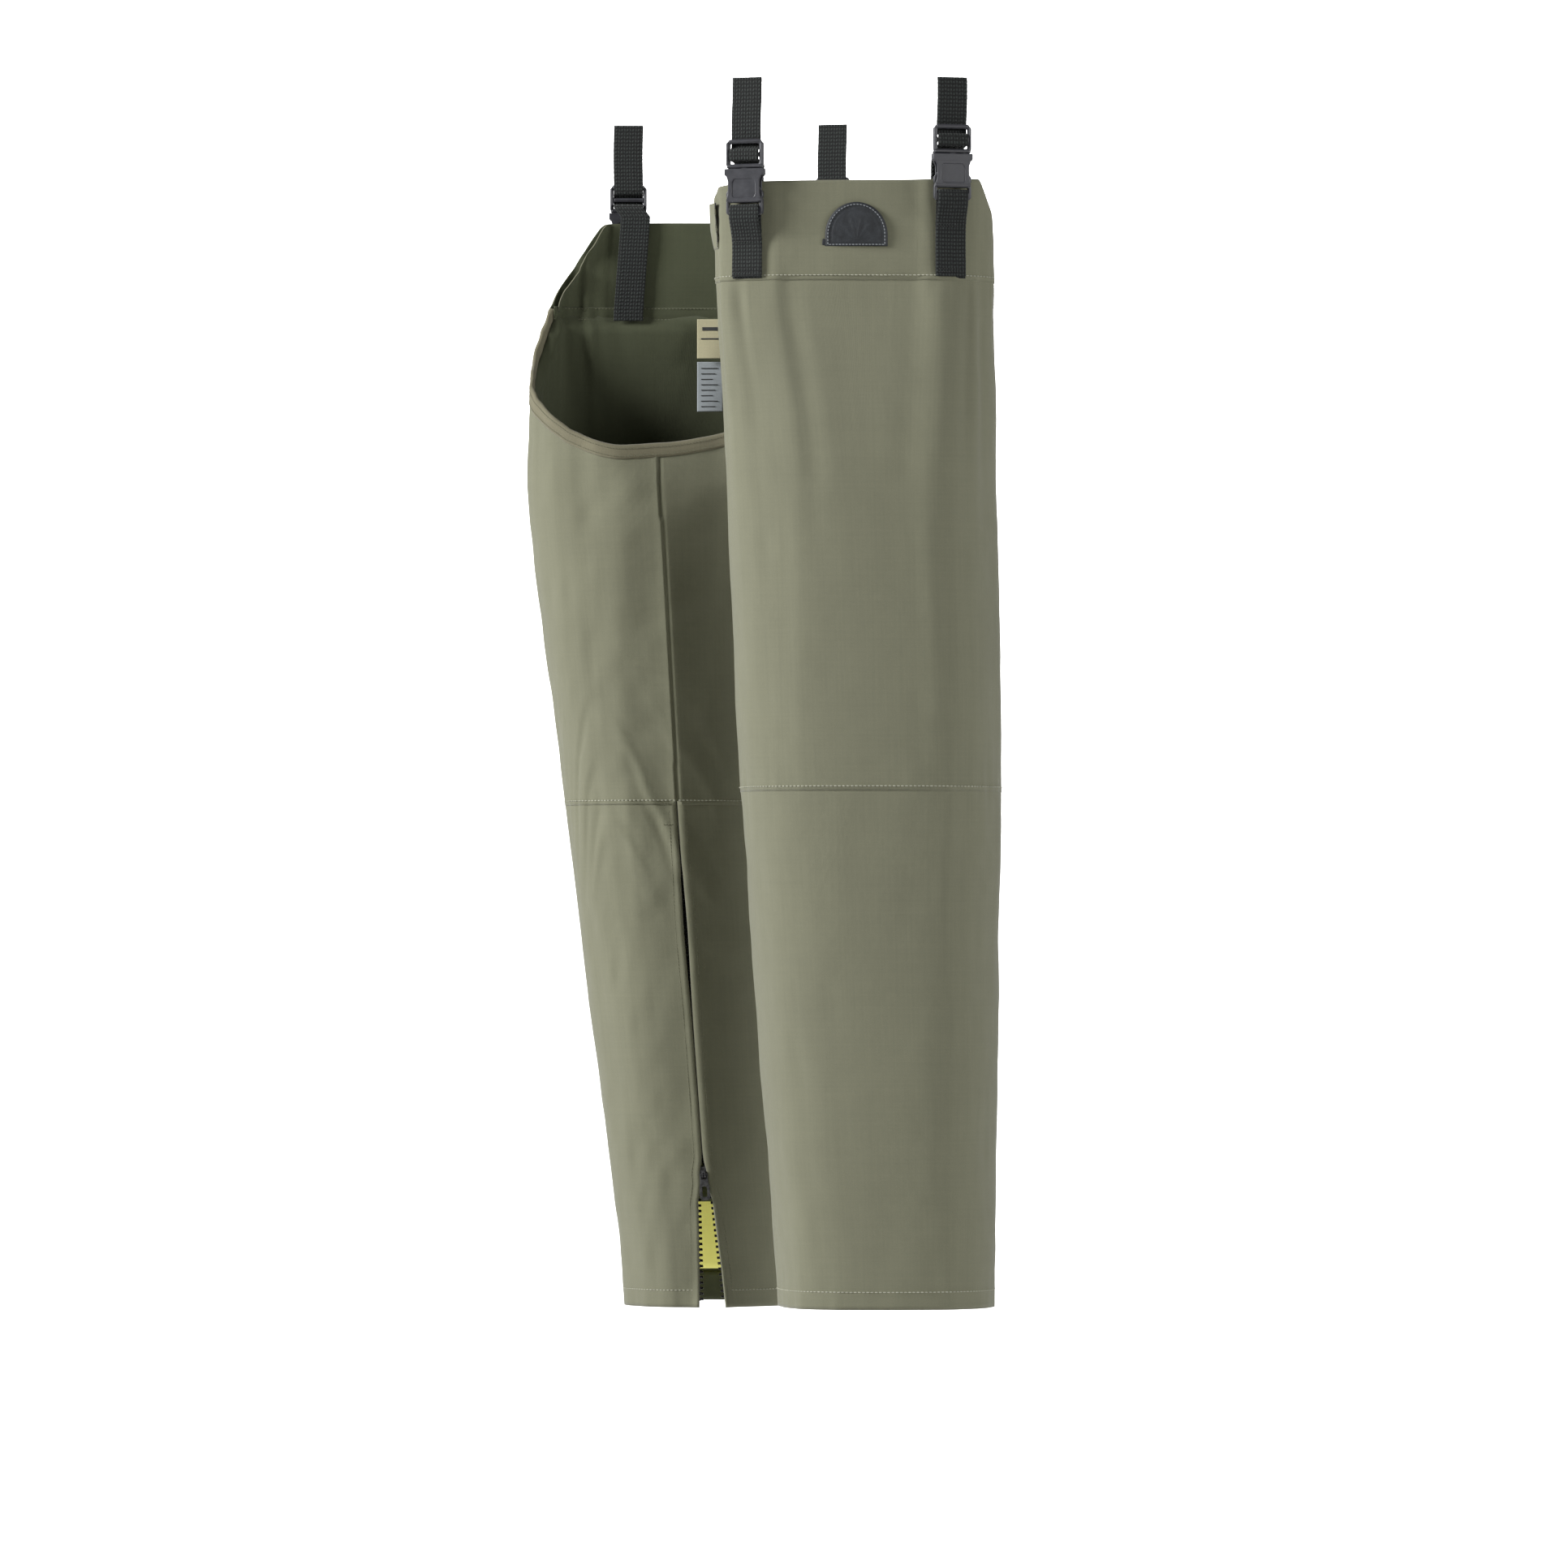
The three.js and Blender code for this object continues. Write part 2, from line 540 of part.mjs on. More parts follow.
// The inner strap: sewn inside the yoke, up and out through the ladder, then up as a tail.
function innerStrapPath(buckleHeight, bow) {
  const half = WEBBING_THICKNESS / 2;
  const inside = insideShell + FACING_THICKNESS + bow + LAYER_GAP + half;
  const lower = buckleHeight + MALE.bottom + MALE.base + MALE.lowerSlot / 2;
  const bar = lower + (MALE.lowerSlot + MALE.bar) / 2;
  const reach = MALE.thickness + BUCKLE_CLEARANCE + half;
  const upper = 2 * bar - lower;
  const back = reach - BUCKLE_OUT;
  const front = -reach - BUCKLE_OUT;
  return [[inside, YOKE_SEAM_HEIGHT - SEWN_DROP - 4], [inside, lower - 9], [inside - 3, lower - 2],
    [-BUCKLE_OUT + 3, lower], [-BUCKLE_OUT, lower], [front + 0.8, lower + 0.2],
    [front, lower + 1.8], [front - 0.1, bar], [front, upper - 1.8], [front + 0.8, upper - 0.2],
    [-BUCKLE_OUT, upper], [back - 0.8, upper + 1.4], [back, upper + 4],
    [back, upper + 9], [back, TAIL_HEIGHT]];
}

// A frame on the yoke's outer surface: -y points out of the leg.
function strapFrame(leg, strap) {
  const s = sectionAt(leg, YOKE_SEAM_HEIGHT);
  const side = Math.sign(strap.x - s.seam);
  const across = side < 0 ? s.seam - s.inseam : s.outseam - s.seam;
  const angle = side * Math.asin((Math.abs(strap.x - s.seam) / across) ** (s.power / 2));
  const place = surfacePoint(leg, angle, YOKE_SEAM_HEIGHT, 0);
  const step = radians(1);
  const tangent = surfacePoint(leg, angle + step, YOKE_SEAM_HEIGHT, 0)
    .sub(surfacePoint(leg, angle - step, YOKE_SEAM_HEIGHT, 0));
  tangent.multiplyScalar(-leg.front);
  const frame = new THREE.Group();
  frame.position.set(place.x, place.y, 0);
  frame.rotation.z = Math.atan2(tangent.y, tangent.x);
  return frame;
}

// How far the yoke curves away from the flat webbing across its width and a margin beside it.
function yokeBow(leg, frame) {
  const margin = 2;
  frame.updateMatrix();
  const toFrame = frame.matrix.clone().invert();
  const points = [];
  for (let degrees = -90; degrees <= 90; degrees += 1) {
    points.push(surfacePoint(leg, radians(degrees), YOKE_SEAM_HEIGHT, 0).applyMatrix4(toFrame));
  }
  const under = points.filter((p) => Math.abs(p.x) < WEBBING_WIDTH / 2 + margin);
  return Math.max(...under.map((p) => p.y));
}

function addStrap(leg, strap, parent) {
  const base = `${leg.name}_${strap.name}`;
  const buckleHeight = TOP_HEIGHT + strap.buckle;
  const frame = strapFrame(leg, strap);
  parent.add(frame);
  addMesh(frame, `${base}_outer_strap`, webbing(outerStrapPath(buckleHeight), 44), 'webbing');
  const innerPath = innerStrapPath(buckleHeight, yokeBow(leg, frame));
  addMesh(frame, `${base}_inner_strap`, webbing(innerPath, 44), 'webbing');

  const buckle = new THREE.Group();
  buckle.name = `${base}_buckle_frame`;
  buckle.position.set(0, -BUCKLE_OUT, buckleHeight);
  frame.add(buckle);
  addMesh(buckle, `${base}_buckle_female`, femaleSolid(), 'buckle');
  addMesh(buckle, `${base}_buckle_male`, maleSolid(), 'buckle');
  for (const side of [-1, 1]) {
    const name = side < 0 ? 'a' : 'b';
    addMesh(buckle, `${base}_buckle_arm_${name}`, armSolid(side), 'buckle');
  }
}

// ---- patch and labels ---------------------------------------------------------------------

// A leather patch with a straight foot and a round top, on the middle of the left yoke.
function addPatch(leg, parent) {
  const size = { x: 2, half: 25.5, foot: 24, side: 9, rise: 27, thickness: 1.6 };
  const outline = [[-size.half, 0], [size.half, 0], [size.half, size.side]];
  const steps = 12;
  for (let i = 1; i <= steps; i += 1) {
    const angle = Math.PI * (i / steps);
    outline.push([size.half * Math.cos(angle), size.side + size.rise * Math.sin(angle)]);
  }
  const geometry = plate(outline, size.thickness / 2);
  const depth = sectionAt(leg, YOKE_SEAM_HEIGHT).depth;
  geometry.translate(size.x, leg.front * (depth + LAYER_GAP + size.thickness / 2),
    YOKE_SEAM_HEIGHT + size.foot);
  addMesh(parent, `${leg.name}_leather_patch`, geometry, 'leather');
}

// Two labels hang inside the front of the right leg from the yoke seam.
function addLabels(leg, parent) {
  const x = sectionAt(leg, YOKE_SEAM_HEIGHT).seam + 43;
  const half = 11;
  const thickness = 0.6;
  const rows = [['size_label', 34, 5], ['care_label', 43, 41]];
  for (const [name, height, drop] of rows) {
    const top = YOKE_SEAM_HEIGHT - drop;
    const foot = sectionAt(leg, top - height).depth;
    const head = sectionAt(leg, top).depth;
    const inset = insideShell + LINER_THICKNESS + 1.6;
    const geometry = plate(rectangle(-half, -height, half, 0), thickness / 2);
    geometry.rotateX(Math.atan2(-leg.front * (foot - head), height));
    geometry.translate(x, leg.front * (head * 0.985 - inset), top);
    addMesh(parent, `${leg.name}_${name}`, geometry, 'label');
  }
}

// ---- assembly -----------------------------------------------------------------------------

for (const leg of LEGS) {
  const legGroup = new THREE.Group();
  const [x, y, z] = leg.place;
  legGroup.position.set(x, y, z - TAIL_HEIGHT);
  group.add(legGroup);
  addShells(leg, legGroup);
  addBinding(leg, legGroup);
  addLining(leg, legGroup);
  addZip(leg, legGroup);
  for (const strap of leg.straps) {
    addStrap(leg, strap, legGroup);
  }
  if (leg.name === 'left') {
    addPatch(leg, legGroup);
  } else {
    addLabels(leg, legGroup);
  }
}

export default group;
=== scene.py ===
# Chainsaw chaps: the looks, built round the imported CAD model. Metres, same frame as the CAD;
# helpers work in the legs' own millimetres (z from the hem up) and convert at the end.
import json
import math

import bmesh
import bpy
import numpy as np
from mathutils import Matrix, Vector


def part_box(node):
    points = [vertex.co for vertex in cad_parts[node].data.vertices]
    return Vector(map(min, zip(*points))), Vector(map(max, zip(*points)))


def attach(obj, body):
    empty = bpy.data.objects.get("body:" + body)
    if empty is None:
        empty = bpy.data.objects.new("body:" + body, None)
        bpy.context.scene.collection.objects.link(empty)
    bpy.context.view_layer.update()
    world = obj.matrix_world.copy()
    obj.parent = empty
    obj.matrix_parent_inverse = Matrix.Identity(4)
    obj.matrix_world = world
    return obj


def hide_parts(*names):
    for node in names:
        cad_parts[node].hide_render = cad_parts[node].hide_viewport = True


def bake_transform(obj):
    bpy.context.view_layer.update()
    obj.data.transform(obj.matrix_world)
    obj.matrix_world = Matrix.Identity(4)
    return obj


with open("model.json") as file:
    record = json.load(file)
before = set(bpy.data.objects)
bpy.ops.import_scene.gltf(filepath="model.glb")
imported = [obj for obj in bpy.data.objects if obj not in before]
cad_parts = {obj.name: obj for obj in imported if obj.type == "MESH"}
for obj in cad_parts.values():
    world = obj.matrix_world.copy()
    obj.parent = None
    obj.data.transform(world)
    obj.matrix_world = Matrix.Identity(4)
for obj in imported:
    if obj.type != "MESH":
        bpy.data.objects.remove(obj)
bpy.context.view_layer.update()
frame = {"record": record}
MM = 0.001

# ---- sizes, in millimetres, as in the CAD ---------------------------------------------------

KNEE = 424.0  # heights from the hem up
NECK = 690.0  # the widest section, just under the low back edge
YOKE_SEAM = 841.0
YOKE_TOP = 921.0
TAIL_TOP = 1003.0
BINDING = 12.0
HEM = 24.0
ZIP_OPEN = 106.0  # the slider's height
PARTING = 16.0  # below the slider, until the halves stand apart
TOOTH_PITCH = 4.6
WEBBING = 25.0
WEB_THICK = 1.4
CLOTH = 1.6
PLAY = 0.4  # between the webbing and a buckle's bar
STRAP_GAP = 1.3  # between the yoke and the outer strap
LINER_INSET = 3.6
LINER_GAP = 33.0  # half of the liner's opening down the back
BUCKLE_OUT = 8.0  # the buckle's middle, out from the yoke
SHARP_ANGLE = math.radians(35)

LEGS = {
    "left": {
        "front": -1, "place": (57.0, -115.0, -1003.0),
        # z, inseam x, outseam x, back seam x, half depth, squareness
        "sections": [(0, -61, 114.5, 27, 82, 2.6), (424, -93, 121, 14, 92, 2.6),
                     (690, -105, 118, 6, 88, 2.6), (841, -114, 114.5, 0, 50, 3.4)],
        "edge": [(-180, 200), (-160, 194), (-135, 165), (-112, 118), (-98, 76), (-88, 20),
                 (-70, 6), (-40, 3), (56, 0), (75, 28), (90, 68), (108, 112), (135, 165),
                 (160, 194), (180, 200)],
        "straps": {"inseam": -31.0, "outseam": -19.0},
    },
    "right": {
        "front": 1, "place": (-66.0, 95.0, -1011.0),
        "sections": [(0, -68, 121, 7, 72, 2.6), (424, -118, 101, -24, 80, 2.6),
                     (690, -151, 124, -39, 74, 2.6), (841, -143, 142, -40, 48, 3.4)],
        "edge": [(-180, 204), (-161, 198), (-135, 177), (-112, 157), (-90, 134), (-65, 85),
                 (-33, 40), (-16, 3), (0, 2), (58, 2), (72, 30), (90, 72), (110, 112),
                 (140, 152), (161, 180), (180, 204)],
        "straps": {"inseam": -31.0, "outseam": -25.0},
    },
}

# ---- materials ------------------------------------------------------------------------------


class Nodes:
    """A material's node tree with short names for what is used here."""

    def __init__(self, name, color, roughness, **sockets):
        self.material = bpy.data.materials.new(name)
        self.material.use_nodes = True
        self.tree = self.material.node_tree
        self.shader = self.tree.nodes["Principled BSDF"]
        self.shader.inputs["Base Color"].default_value = (*color, 1)
        self.shader.inputs["Roughness"].default_value = roughness
        for key, value in sockets.items():
            self.shader.inputs[key.replace("_", " ")].default_value = value
        self.height = None

    def add(self, kind, **values):
        node = self.tree.nodes.new(kind)
        for key, value in values.items():
            if hasattr(node, key):
                setattr(node, key, value)
            else:
                node.inputs[key.replace("_", " ")].default_value = value
        return node

    def link(self, source, target):
        self.tree.links.new(source, target)

    def coordinates(self, kind, scale=(1, 1, 1)):
        source = self.add("ShaderNodeTexCoord")
        mapping = self.add("ShaderNodeMapping")
        mapping.inputs["Scale"].default_value = scale
        self.link(source.outputs[kind], mapping.inputs["Vector"])
        return mapping.outputs["Vector"]

    def noise(self, vector, scale, detail=3.0, roughness=0.55):
        node = self.add("ShaderNodeTexNoise", Scale=scale, Detail=detail, Roughness=roughness)
        self.link(vector, node.inputs["Vector"])
        return node.outputs["Fac"]

    def math(self, operation, a, b):
        node = self.add("ShaderNodeMath", operation=operation)
        for socket, value in zip(node.inputs, (a, b)):
            if isinstance(value, (int, float)):
                socket.default_value = value
            else:
                self.link(value, socket)
        return node.outputs[0]

    def ramp(self, factor, stops):
        node = self.add("ShaderNodeValToRGB")
        elements = node.color_ramp.elements
        while len(elements) < len(stops):
            elements.new(0.5)
        for element, (position, color) in zip(elements, stops):
            element.position = position
            element.color = (*color, 1)
        self.link(factor, node.inputs["Fac"])
        return node.outputs["Color"]

    def mix(self, kind, factor, a, b):
        node = self.add("ShaderNodeMix", data_type="RGBA", blend_type=kind)
        node.inputs["Factor"].default_value = factor
        self.link(a, node.inputs["A"])
        self.link(b, node.inputs["B"])
        return node.outputs["Result"]

    def colour(self, output):
        self.link(output, self.shader.inputs["Base Color"])

    def rough(self, factor, low, high):
        node = self.add("ShaderNodeMapRange")
        node.inputs["To Min"].default_value = low
        node.inputs["To Max"].default_value = high
        self.link(factor, node.inputs["Value"])
        self.link(node.outputs["Result"], self.shader.inputs["Roughness"])

    def bump(self, height, strength, distance):
        node = self.add("ShaderNodeBump", Strength=strength, Distance=distance)
        self.link(height, node.inputs["Height"])
        if self.height is not None:
            self.link(self.height, node.inputs["Normal"])
        self.height = node.outputs["Normal"]
        self.link(self.height, self.shader.inputs["Normal"])


def tint(color, factor):
    return tuple(c * factor for c in color)


def woven(name, color, pitch, spread=0.12, grain=1.0, ribs=0.0, **sockets):
    """Plain-weave cloth: threads along u and v of the piece's own metres, with slubs and drift;
    ribs mixes painted shade and highlight from the weave into its colour.
    """
    n = Nodes(name, color, 0.85, **sockets)
    cloth = n.coordinates("UV")
    place = n.coordinates("Object")
    warp_slub = n.noise(n.coordinates("UV", (1 / pitch, 30, 1)), 0.35, 2.0)
    weft_slub = n.noise(n.coordinates("UV", (30, 1 / pitch, 1)), 0.35, 2.0)
    drift = n.noise(place, 9.0, 4.0)
    fine = n.noise(place, 1400.0, 2.0)
    threads = n.math("ADD", n.math("MULTIPLY", warp_slub, 0.6), n.math("MULTIPLY", weft_slub, 0.4))
    tone = n.math("ADD", n.math("MULTIPLY", threads, 0.55), n.math("MULTIPLY", drift, 0.45))
    base = n.ramp(tone, [(0.3, tint(color, 1 - spread)), (0.7, tint(color, 1 + spread))])
    speck = n.ramp(fine, [(0.35, (0.9, 0.9, 0.9)), (0.65, (1.0, 1.0, 1.0))])
    base = n.mix("MULTIPLY", 0.7, base, speck)
    n.rough(tone, 0.78, 0.94)
    waves = []
    for direction in "XY":
        wave = n.add("ShaderNodeTexWave", Scale=1 / pitch / 3.14, Distortion=0.6,
                     bands_direction=direction)
        n.link(cloth, wave.inputs["Vector"])
        waves.append(wave.outputs["Fac"])
    weave = n.math("MULTIPLY", *waves)
    # Painted shade and highlight: where ribs is above 0 (only the webbing), the colour is darkened
    # in the weave's valleys and lightened on its ribs.
    painted_weave_shading = n.ramp(weave, [(0.05, (0.2, 0.2, 0.2)), (0.6, (1.5, 1.5, 1.5))])
    n.colour(n.mix("MULTIPLY", ribs, base, painted_weave_shading))
    n.bump(weave, 0.35 * grain, pitch * 0.5)
    n.bump(fine, 0.15 * grain, 0.0003)
    n.bump(n.noise(place, 60.0, 5.0), 0.25 * grain, 0.0012)
    return n.material


def moulded(name, color, roughness):
    """Moulded plastic: fine spark-eroded texture, with duller scuffs, and a painted highlight that
    makes its convex edges paler.
    """
    n = Nodes(name, color, roughness)
    place = n.coordinates("Object")
    scuffs = n.noise(place, 160.0, 5.0, 0.65)
    base = n.ramp(scuffs, [(0.3, tint(color, 0.85)), (0.7, tint(color, 1.2))])
    edge = n.add("ShaderNodeNewGeometry").outputs["Pointiness"]
    # Painted highlight: the colour is lightened where the surface is pointy, along its convex
    # edges.
    painted_edge_highlight = n.ramp(edge, [(0.5, (0, 0, 0)), (0.62, tint(color, 0.6))])
    n.colour(n.mix("ADD", 0.6, base, painted_edge_highlight))
    n.rough(scuffs, roughness - 0.08, roughness + 0.15)
    n.bump(n.noise(place, 2600.0, 2.0), 0.12, 0.0002)
    return n.material


def metal(name, color, roughness):
    n = Nodes(name, color, roughness, Metallic=0.55)
    place = n.coordinates("Object")
    rub = n.noise(place, 420.0, 4.0)
    n.colour(n.ramp(rub, [(0.35, tint(color, 0.7)), (0.7, tint(color, 1.5))]))
    n.rough(rub, roughness - 0.1, roughness + 0.2)
    n.bump(n.noise(place, 900.0, 3.0), 0.1, 0.0002)
    return n.material


def leather(name, color):
    n = Nodes(name, color, 0.6)
    place = n.coordinates("Object")
    cells = n.add("ShaderNodeTexVoronoi", Scale=900.0, feature="DISTANCE_TO_EDGE")
    n.link(place, cells.inputs["Vector"])
    wear = n.noise(place, 130.0, 5.0, 0.65)
    n.colour(n.ramp(wear, [(0.32, tint(color, 0.65)), (0.68, tint(color, 1.45))]))
    n.rough(wear, 0.5, 0.75)
    n.bump(cells.outputs["Distance"], 0.5, 0.0004)
    n.bump(wear, 0.3, 0.0008)
    return n.material


def thread(name, color):
    n = Nodes(name, color, 0.75)
    place = n.coordinates("Object")
    twist = n.add("ShaderNodeTexWave", Scale=900.0, Distortion=1.5, bands_direction="DIAGONAL")
    n.link(place, twist.inputs["Vector"])
    n.colour(n.ramp(n.noise(place, 300.0), [(0.3, tint(color, 0.8)), (0.7, tint(color, 1.15))]))
    n.bump(twist.outputs["Fac"], 0.4, 0.0002)
    return n.material


MATERIALS = {
    "shell_cloth": woven("shell_cloth", (0.205, 0.205, 0.135), 0.0007, 0.09, Sheen_Weight=0.25,
                         Sheen_Roughness=0.5),
    # inner_cloth: darker than the shell for the cloth's coated back, and darker and greener still
    # as painted shade of the legs' insides.
    "inner_cloth": woven("inner_cloth", (0.066, 0.075, 0.036), 0.0006, 0.12, Sheen_Weight=0.15),
    # The liner's emission is a painted glow: the yellow pad gives off light of its own to look lit
    # inside the leg, though it is no lamp.
    "protective_liner": woven("protective_liner", (0.86, 0.84, 0.24), 0.0008, 0.12,
                              Sheen_Weight=0.2, Emission_Strength=0.22,
                              Emission_Color=(0.9, 0.85, 0.25, 1)),
    "binding": woven("binding", (0.200, 0.185, 0.118), 0.0006, 0.15, Sheen_Weight=0.2),
    # The webbing's 1.0 for ribs paints shade into the weave's valleys and highlight onto its ribs.
    "webbing": woven("webbing", (0.022, 0.027, 0.025), 0.0032, 0.25, 1.2, 1.0,
                     Sheen_Weight=0.08),
    "buckle_plastic": moulded("buckle_plastic", (0.047, 0.048, 0.055), 0.34),
    "leather": leather("leather", (0.022, 0.025, 0.029)),
    "zip_tape": woven("zip_tape", (0.030, 0.031, 0.026), 0.0006, 0.2),
    "zip_teeth": moulded("zip_teeth", (0.012, 0.012, 0.012), 0.35),
    "zip_metal": metal("zip_metal", (0.09, 0.09, 0.092), 0.36),
    "size_label": woven("size_label", (0.56, 0.52, 0.33), 0.0004, 0.06, Sheen_Weight=0.3),
    "care_label": woven("care_label", (0.42, 0.46, 0.48), 0.0004, 0.05, Sheen_Weight=0.3),
    "thread_pale": thread("thread_pale", (0.50, 0.50, 0.40)),
    "thread_olive": thread("thread_olive", (0.19, 0.19, 0.125)),
    "thread_dark": thread("thread_dark", (0.05, 0.052, 0.05)),
    "thread_grey": thread("thread_grey", (0.26, 0.28, 0.30)),
}

# ---- making pieces --------------------------------------------------------------------------


def add_piece(name, vertices, faces, slot, body, replaces=(), material=None, uv=None):
    """A smooth mesh piece from points in row-frame metres."""
    mesh = bpy.data.meshes.new(name)
    mesh.from_pydata([tuple(v) for v in vertices], [], [tuple(f) for f in faces])
    mesh.validate()
    if uv is not None:
        layer = mesh.uv_layers.new(name="cloth")
        corners = np.empty(len(mesh.loops), np.int32)
        mesh.loops.foreach_get("vertex_index", corners)
        layer.data.foreach_set("uv", np.asarray(uv, np.float32)[corners].ravel())
    mesh.polygons.foreach_set("use_smooth", [True] * len(mesh.polygons))
    mesh.materials.append(MATERIALS[material or slot])
    piece = bpy.data.objects.new(name, mesh)
    bpy.context.scene.collection.objects.link(piece)
    if body is not None:
        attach(piece, body)
    if replaces:
        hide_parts(*replaces)
    return piece


def grid_faces(rows, columns, closed=False):
    """The faces between a grid's points; closed joins its last column to its first."""
    faces = []
    spans = columns if closed else columns - 1
    for r in range(rows - 1):
        for c in range(spans):
            d = (c + 1) % columns
            faces.append((r * columns + c, r * columns + d, (r + 1) * columns + d,
                          (r + 1) * columns + c))
    return faces


def tube_faces(rings, count):
    """The faces of a tube of rings, with both of its ends closed."""
    faces = grid_faces(rings, count, closed=True)
    faces.append(tuple(range(count - 1, -1, -1)))
    faces.append(tuple(range((rings - 1) * count, rings * count)))
    return faces


def to_row(leg, points):
    return (np.asarray(points, float) + leg["place"]) * MM


def thicken(piece, millimetres, offset=-1.0, inside=None, rim=None):
    """Give a sheet its thickness, and its inside or its rim another material."""
    modifier = piece.modifiers.new("thickness", "SOLIDIFY")
    if inside or rim:
        piece.data.materials.append(MATERIALS[inside or rim])
        modifier.material_offset = 1 if inside else 0
        modifier.material_offset_rim = 1 if rim else 0
    modifier.thickness = millimetres * MM
    modifier.offset = offset
    modifier.use_even_offset = False


def smooth_noise(seed, u, v, nu, nv):
    """Smooth noise from -1 to 1, nu by nv cells over the unit square; u wraps round."""
    grid = np.random.default_rng(seed).uniform(-1, 1, (nv + 2, nu))
    x, y = np.mod(u, 1) * nu, np.clip(v, 0, 1) * nv
    i, j = np.floor(x).astype(int) % nu, np.minimum(np.floor(y).astype(int), nv)
    fx, fy = x - np.floor(x), y - np.floor(y)
    fx, fy = fx * fx * (3 - 2 * fx), fy * fy * (3 - 2 * fy)
    k = (i + 1) % nu
    low = grid[j, i] * (1 - fx) + grid[j, k] * fx
    high = grid[j + 1, i] * (1 - fx) + grid[j + 1, k] * fx
    return low * (1 - fy) + high * fy


def path_lengths(points):
    """How far along a path of points each point lies."""
    steps = np.linalg.norm(np.diff(points, axis=0), axis=1)
    return np.concatenate([[0], np.cumsum(steps)])


def plan_steps(points):
    """The length of each step along a row of points, seen from above."""
    steps = np.linalg.norm(np.gradient(points[:, :2], axis=0), axis=1)
    return np.gradient(np.cumsum(steps))


def blurred(values):
    return np.convolve(np.pad(values, 4, "edge"), np.ones(9) / 9, "valid")


# ---- the leg's surface ----------------------------------------------------------------------


def raised(value, power):
    """A power that keeps the sign."""
    return np.sign(value) * np.abs(value) ** power


def section_point(section, front, angle, inset):
    """A point of one section, at an angle from the middle of its front."""
    _, inseam, outseam, seam, depth, power = section
    across = np.where(np.sin(angle) < 0, seam - inseam, outseam - seam)
    x = seam + (across - inset) * raised(np.sin(angle), 2 / power)
    y = front * (depth - inset) * raised(np.cos(angle), 2 / power)
    return x, y


def straight_point(leg, angle, z, inset):
    """Points between the sections, with plain straight sides."""
    sections = leg["sections"]
    x, y = np.zeros_like(z), np.zeros_like(z)
    for k, (low, high) in enumerate(zip(sections, sections[1:])):
        last = k == len(sections) - 2
        here = (z >= low[0] if k else z > -1e9) & ((z < high[0]) | last)
        share = np.clip((z - low[0]) / (high[0] - low[0]), 0, 1)
        x0, y0 = section_point(low, leg["front"], angle, inset)
        x1, y1 = section_point(high, leg["front"], angle, inset)
        x = np.where(here, x0 + (x1 - x0) * share, x)
        y = np.where(here, y0 + (y1 - y0) * share, y)
    return x, y


def surface(leg, angle, z, inset):
    """Points on the leg's surface; the bends between sections are rounded over 30 mm."""
    angle, z = np.broadcast_arrays(np.asarray(angle, float), np.asarray(z, float))
    x, y = straight_point(leg, angle, z, inset)
    reach = 30.0
    for side in (-reach, reach):
        sx, sy = straight_point(leg, angle, np.clip(z + side, 0, YOKE_TOP), inset)
        x, y = x + sx / 2, y + sy / 2
    return np.stack([x / 2, y / 2, z], -1)


def section_at(leg, z):
    """The section's inseam x, outseam x, back seam x, half depth and squareness at a height."""
    table = np.array(leg["sections"], float)
    return [np.interp(z, table[:, 0], table[:, k]) for k in range(1, 6)]


def back_angle(leg, offset, z):
    """The angle at which the surface stands offset to one side of the back seam."""
    inseam, outseam, seam, _, power = section_at(leg, z)
    across = np.where(offset < 0, seam - inseam, outseam - seam)
    turn = np.arcsin(np.clip(np.abs(offset) / across, 0, 1) ** (power / 2))
    return np.where(offset < 0, -1, 1) * (math.pi - turn)


def edge_height(leg, angle):
    """The top edge: crisp corners on the yoke, an even curve round the low back. The angle
    wraps round."""
    table = np.array(leg["edge"], float)
    degrees = np.degrees(angle)

    def averaged(reach):
        turns = np.linspace(-reach, reach, 9)
        wrapped = [np.mod(degrees + turn + 180, 360) - 180 for turn in turns]
        return sum(np.interp(w, table[:, 0], table[:, 1]) for w in wrapped) / len(turns)

    crisp, even = averaged(2), averaged(17)
    low = np.clip((crisp - 75) / 30, 0, 1)
    return YOKE_TOP - (crisp * (1 - low) + even * low)


def zip_spread(z):
    """How far each half of the zip stands off the middle."""
    wide, hem_spread = 4.5, 4.0
    parted = np.clip((ZIP_OPEN - z) / PARTING, 0, 1)
    return wide * parted + hem_spread * np.maximum(0, 1 - z / (ZIP_OPEN - PARTING))


def gauss(x, width):
    return np.exp(-((x / width) ** 2))


def seam_puckers(seed, u, distance, reach, size):
    """Small gathers next to a seam, fading away from it."""
    fade = np.exp(-np.maximum(distance, 0) / reach)
    fine = smooth_noise(seed, u, u * 0 + 0.5, 75, 1)
    broad = smooth_noise(seed + 1, u, u * 0 + 0.3, 25, 1)
    return size * fade * (0.7 * fine + 0.5 * broad)


def under_straps(leg, angle, z):
    """1 where a strap lies on the yoke, falling to 0 round it."""
    x = surface(leg, angle, z, 0)[..., 0]
    cover = 0
    for middle in leg["strap_x"]:
        cover = np.maximum(cover, gauss(np.maximum(np.abs(x - middle) - 13, 0), 9))
    high = 1 / (1 + np.exp(-(z - YOKE_SEAM + 8) / 6))
    return cover * high * (np.cos(angle) > 0)


def side_hollow(leg, angle, z):
    """The right leg's back falls in beside its seam, on the outseam side."""
    if leg["front"] < 0:
        return 0.0
    off = surface(leg, angle, z, 0)[..., 0] - section_at(leg, z)[2]
    fall = 0.45 * np.clip(off - 4, 0, 58) * np.clip((150 - off) / 70, 0, 1)
    return fall * (np.cos(angle) < 0) * np.clip((NECK + 30 - z) / 120, 0, 1)


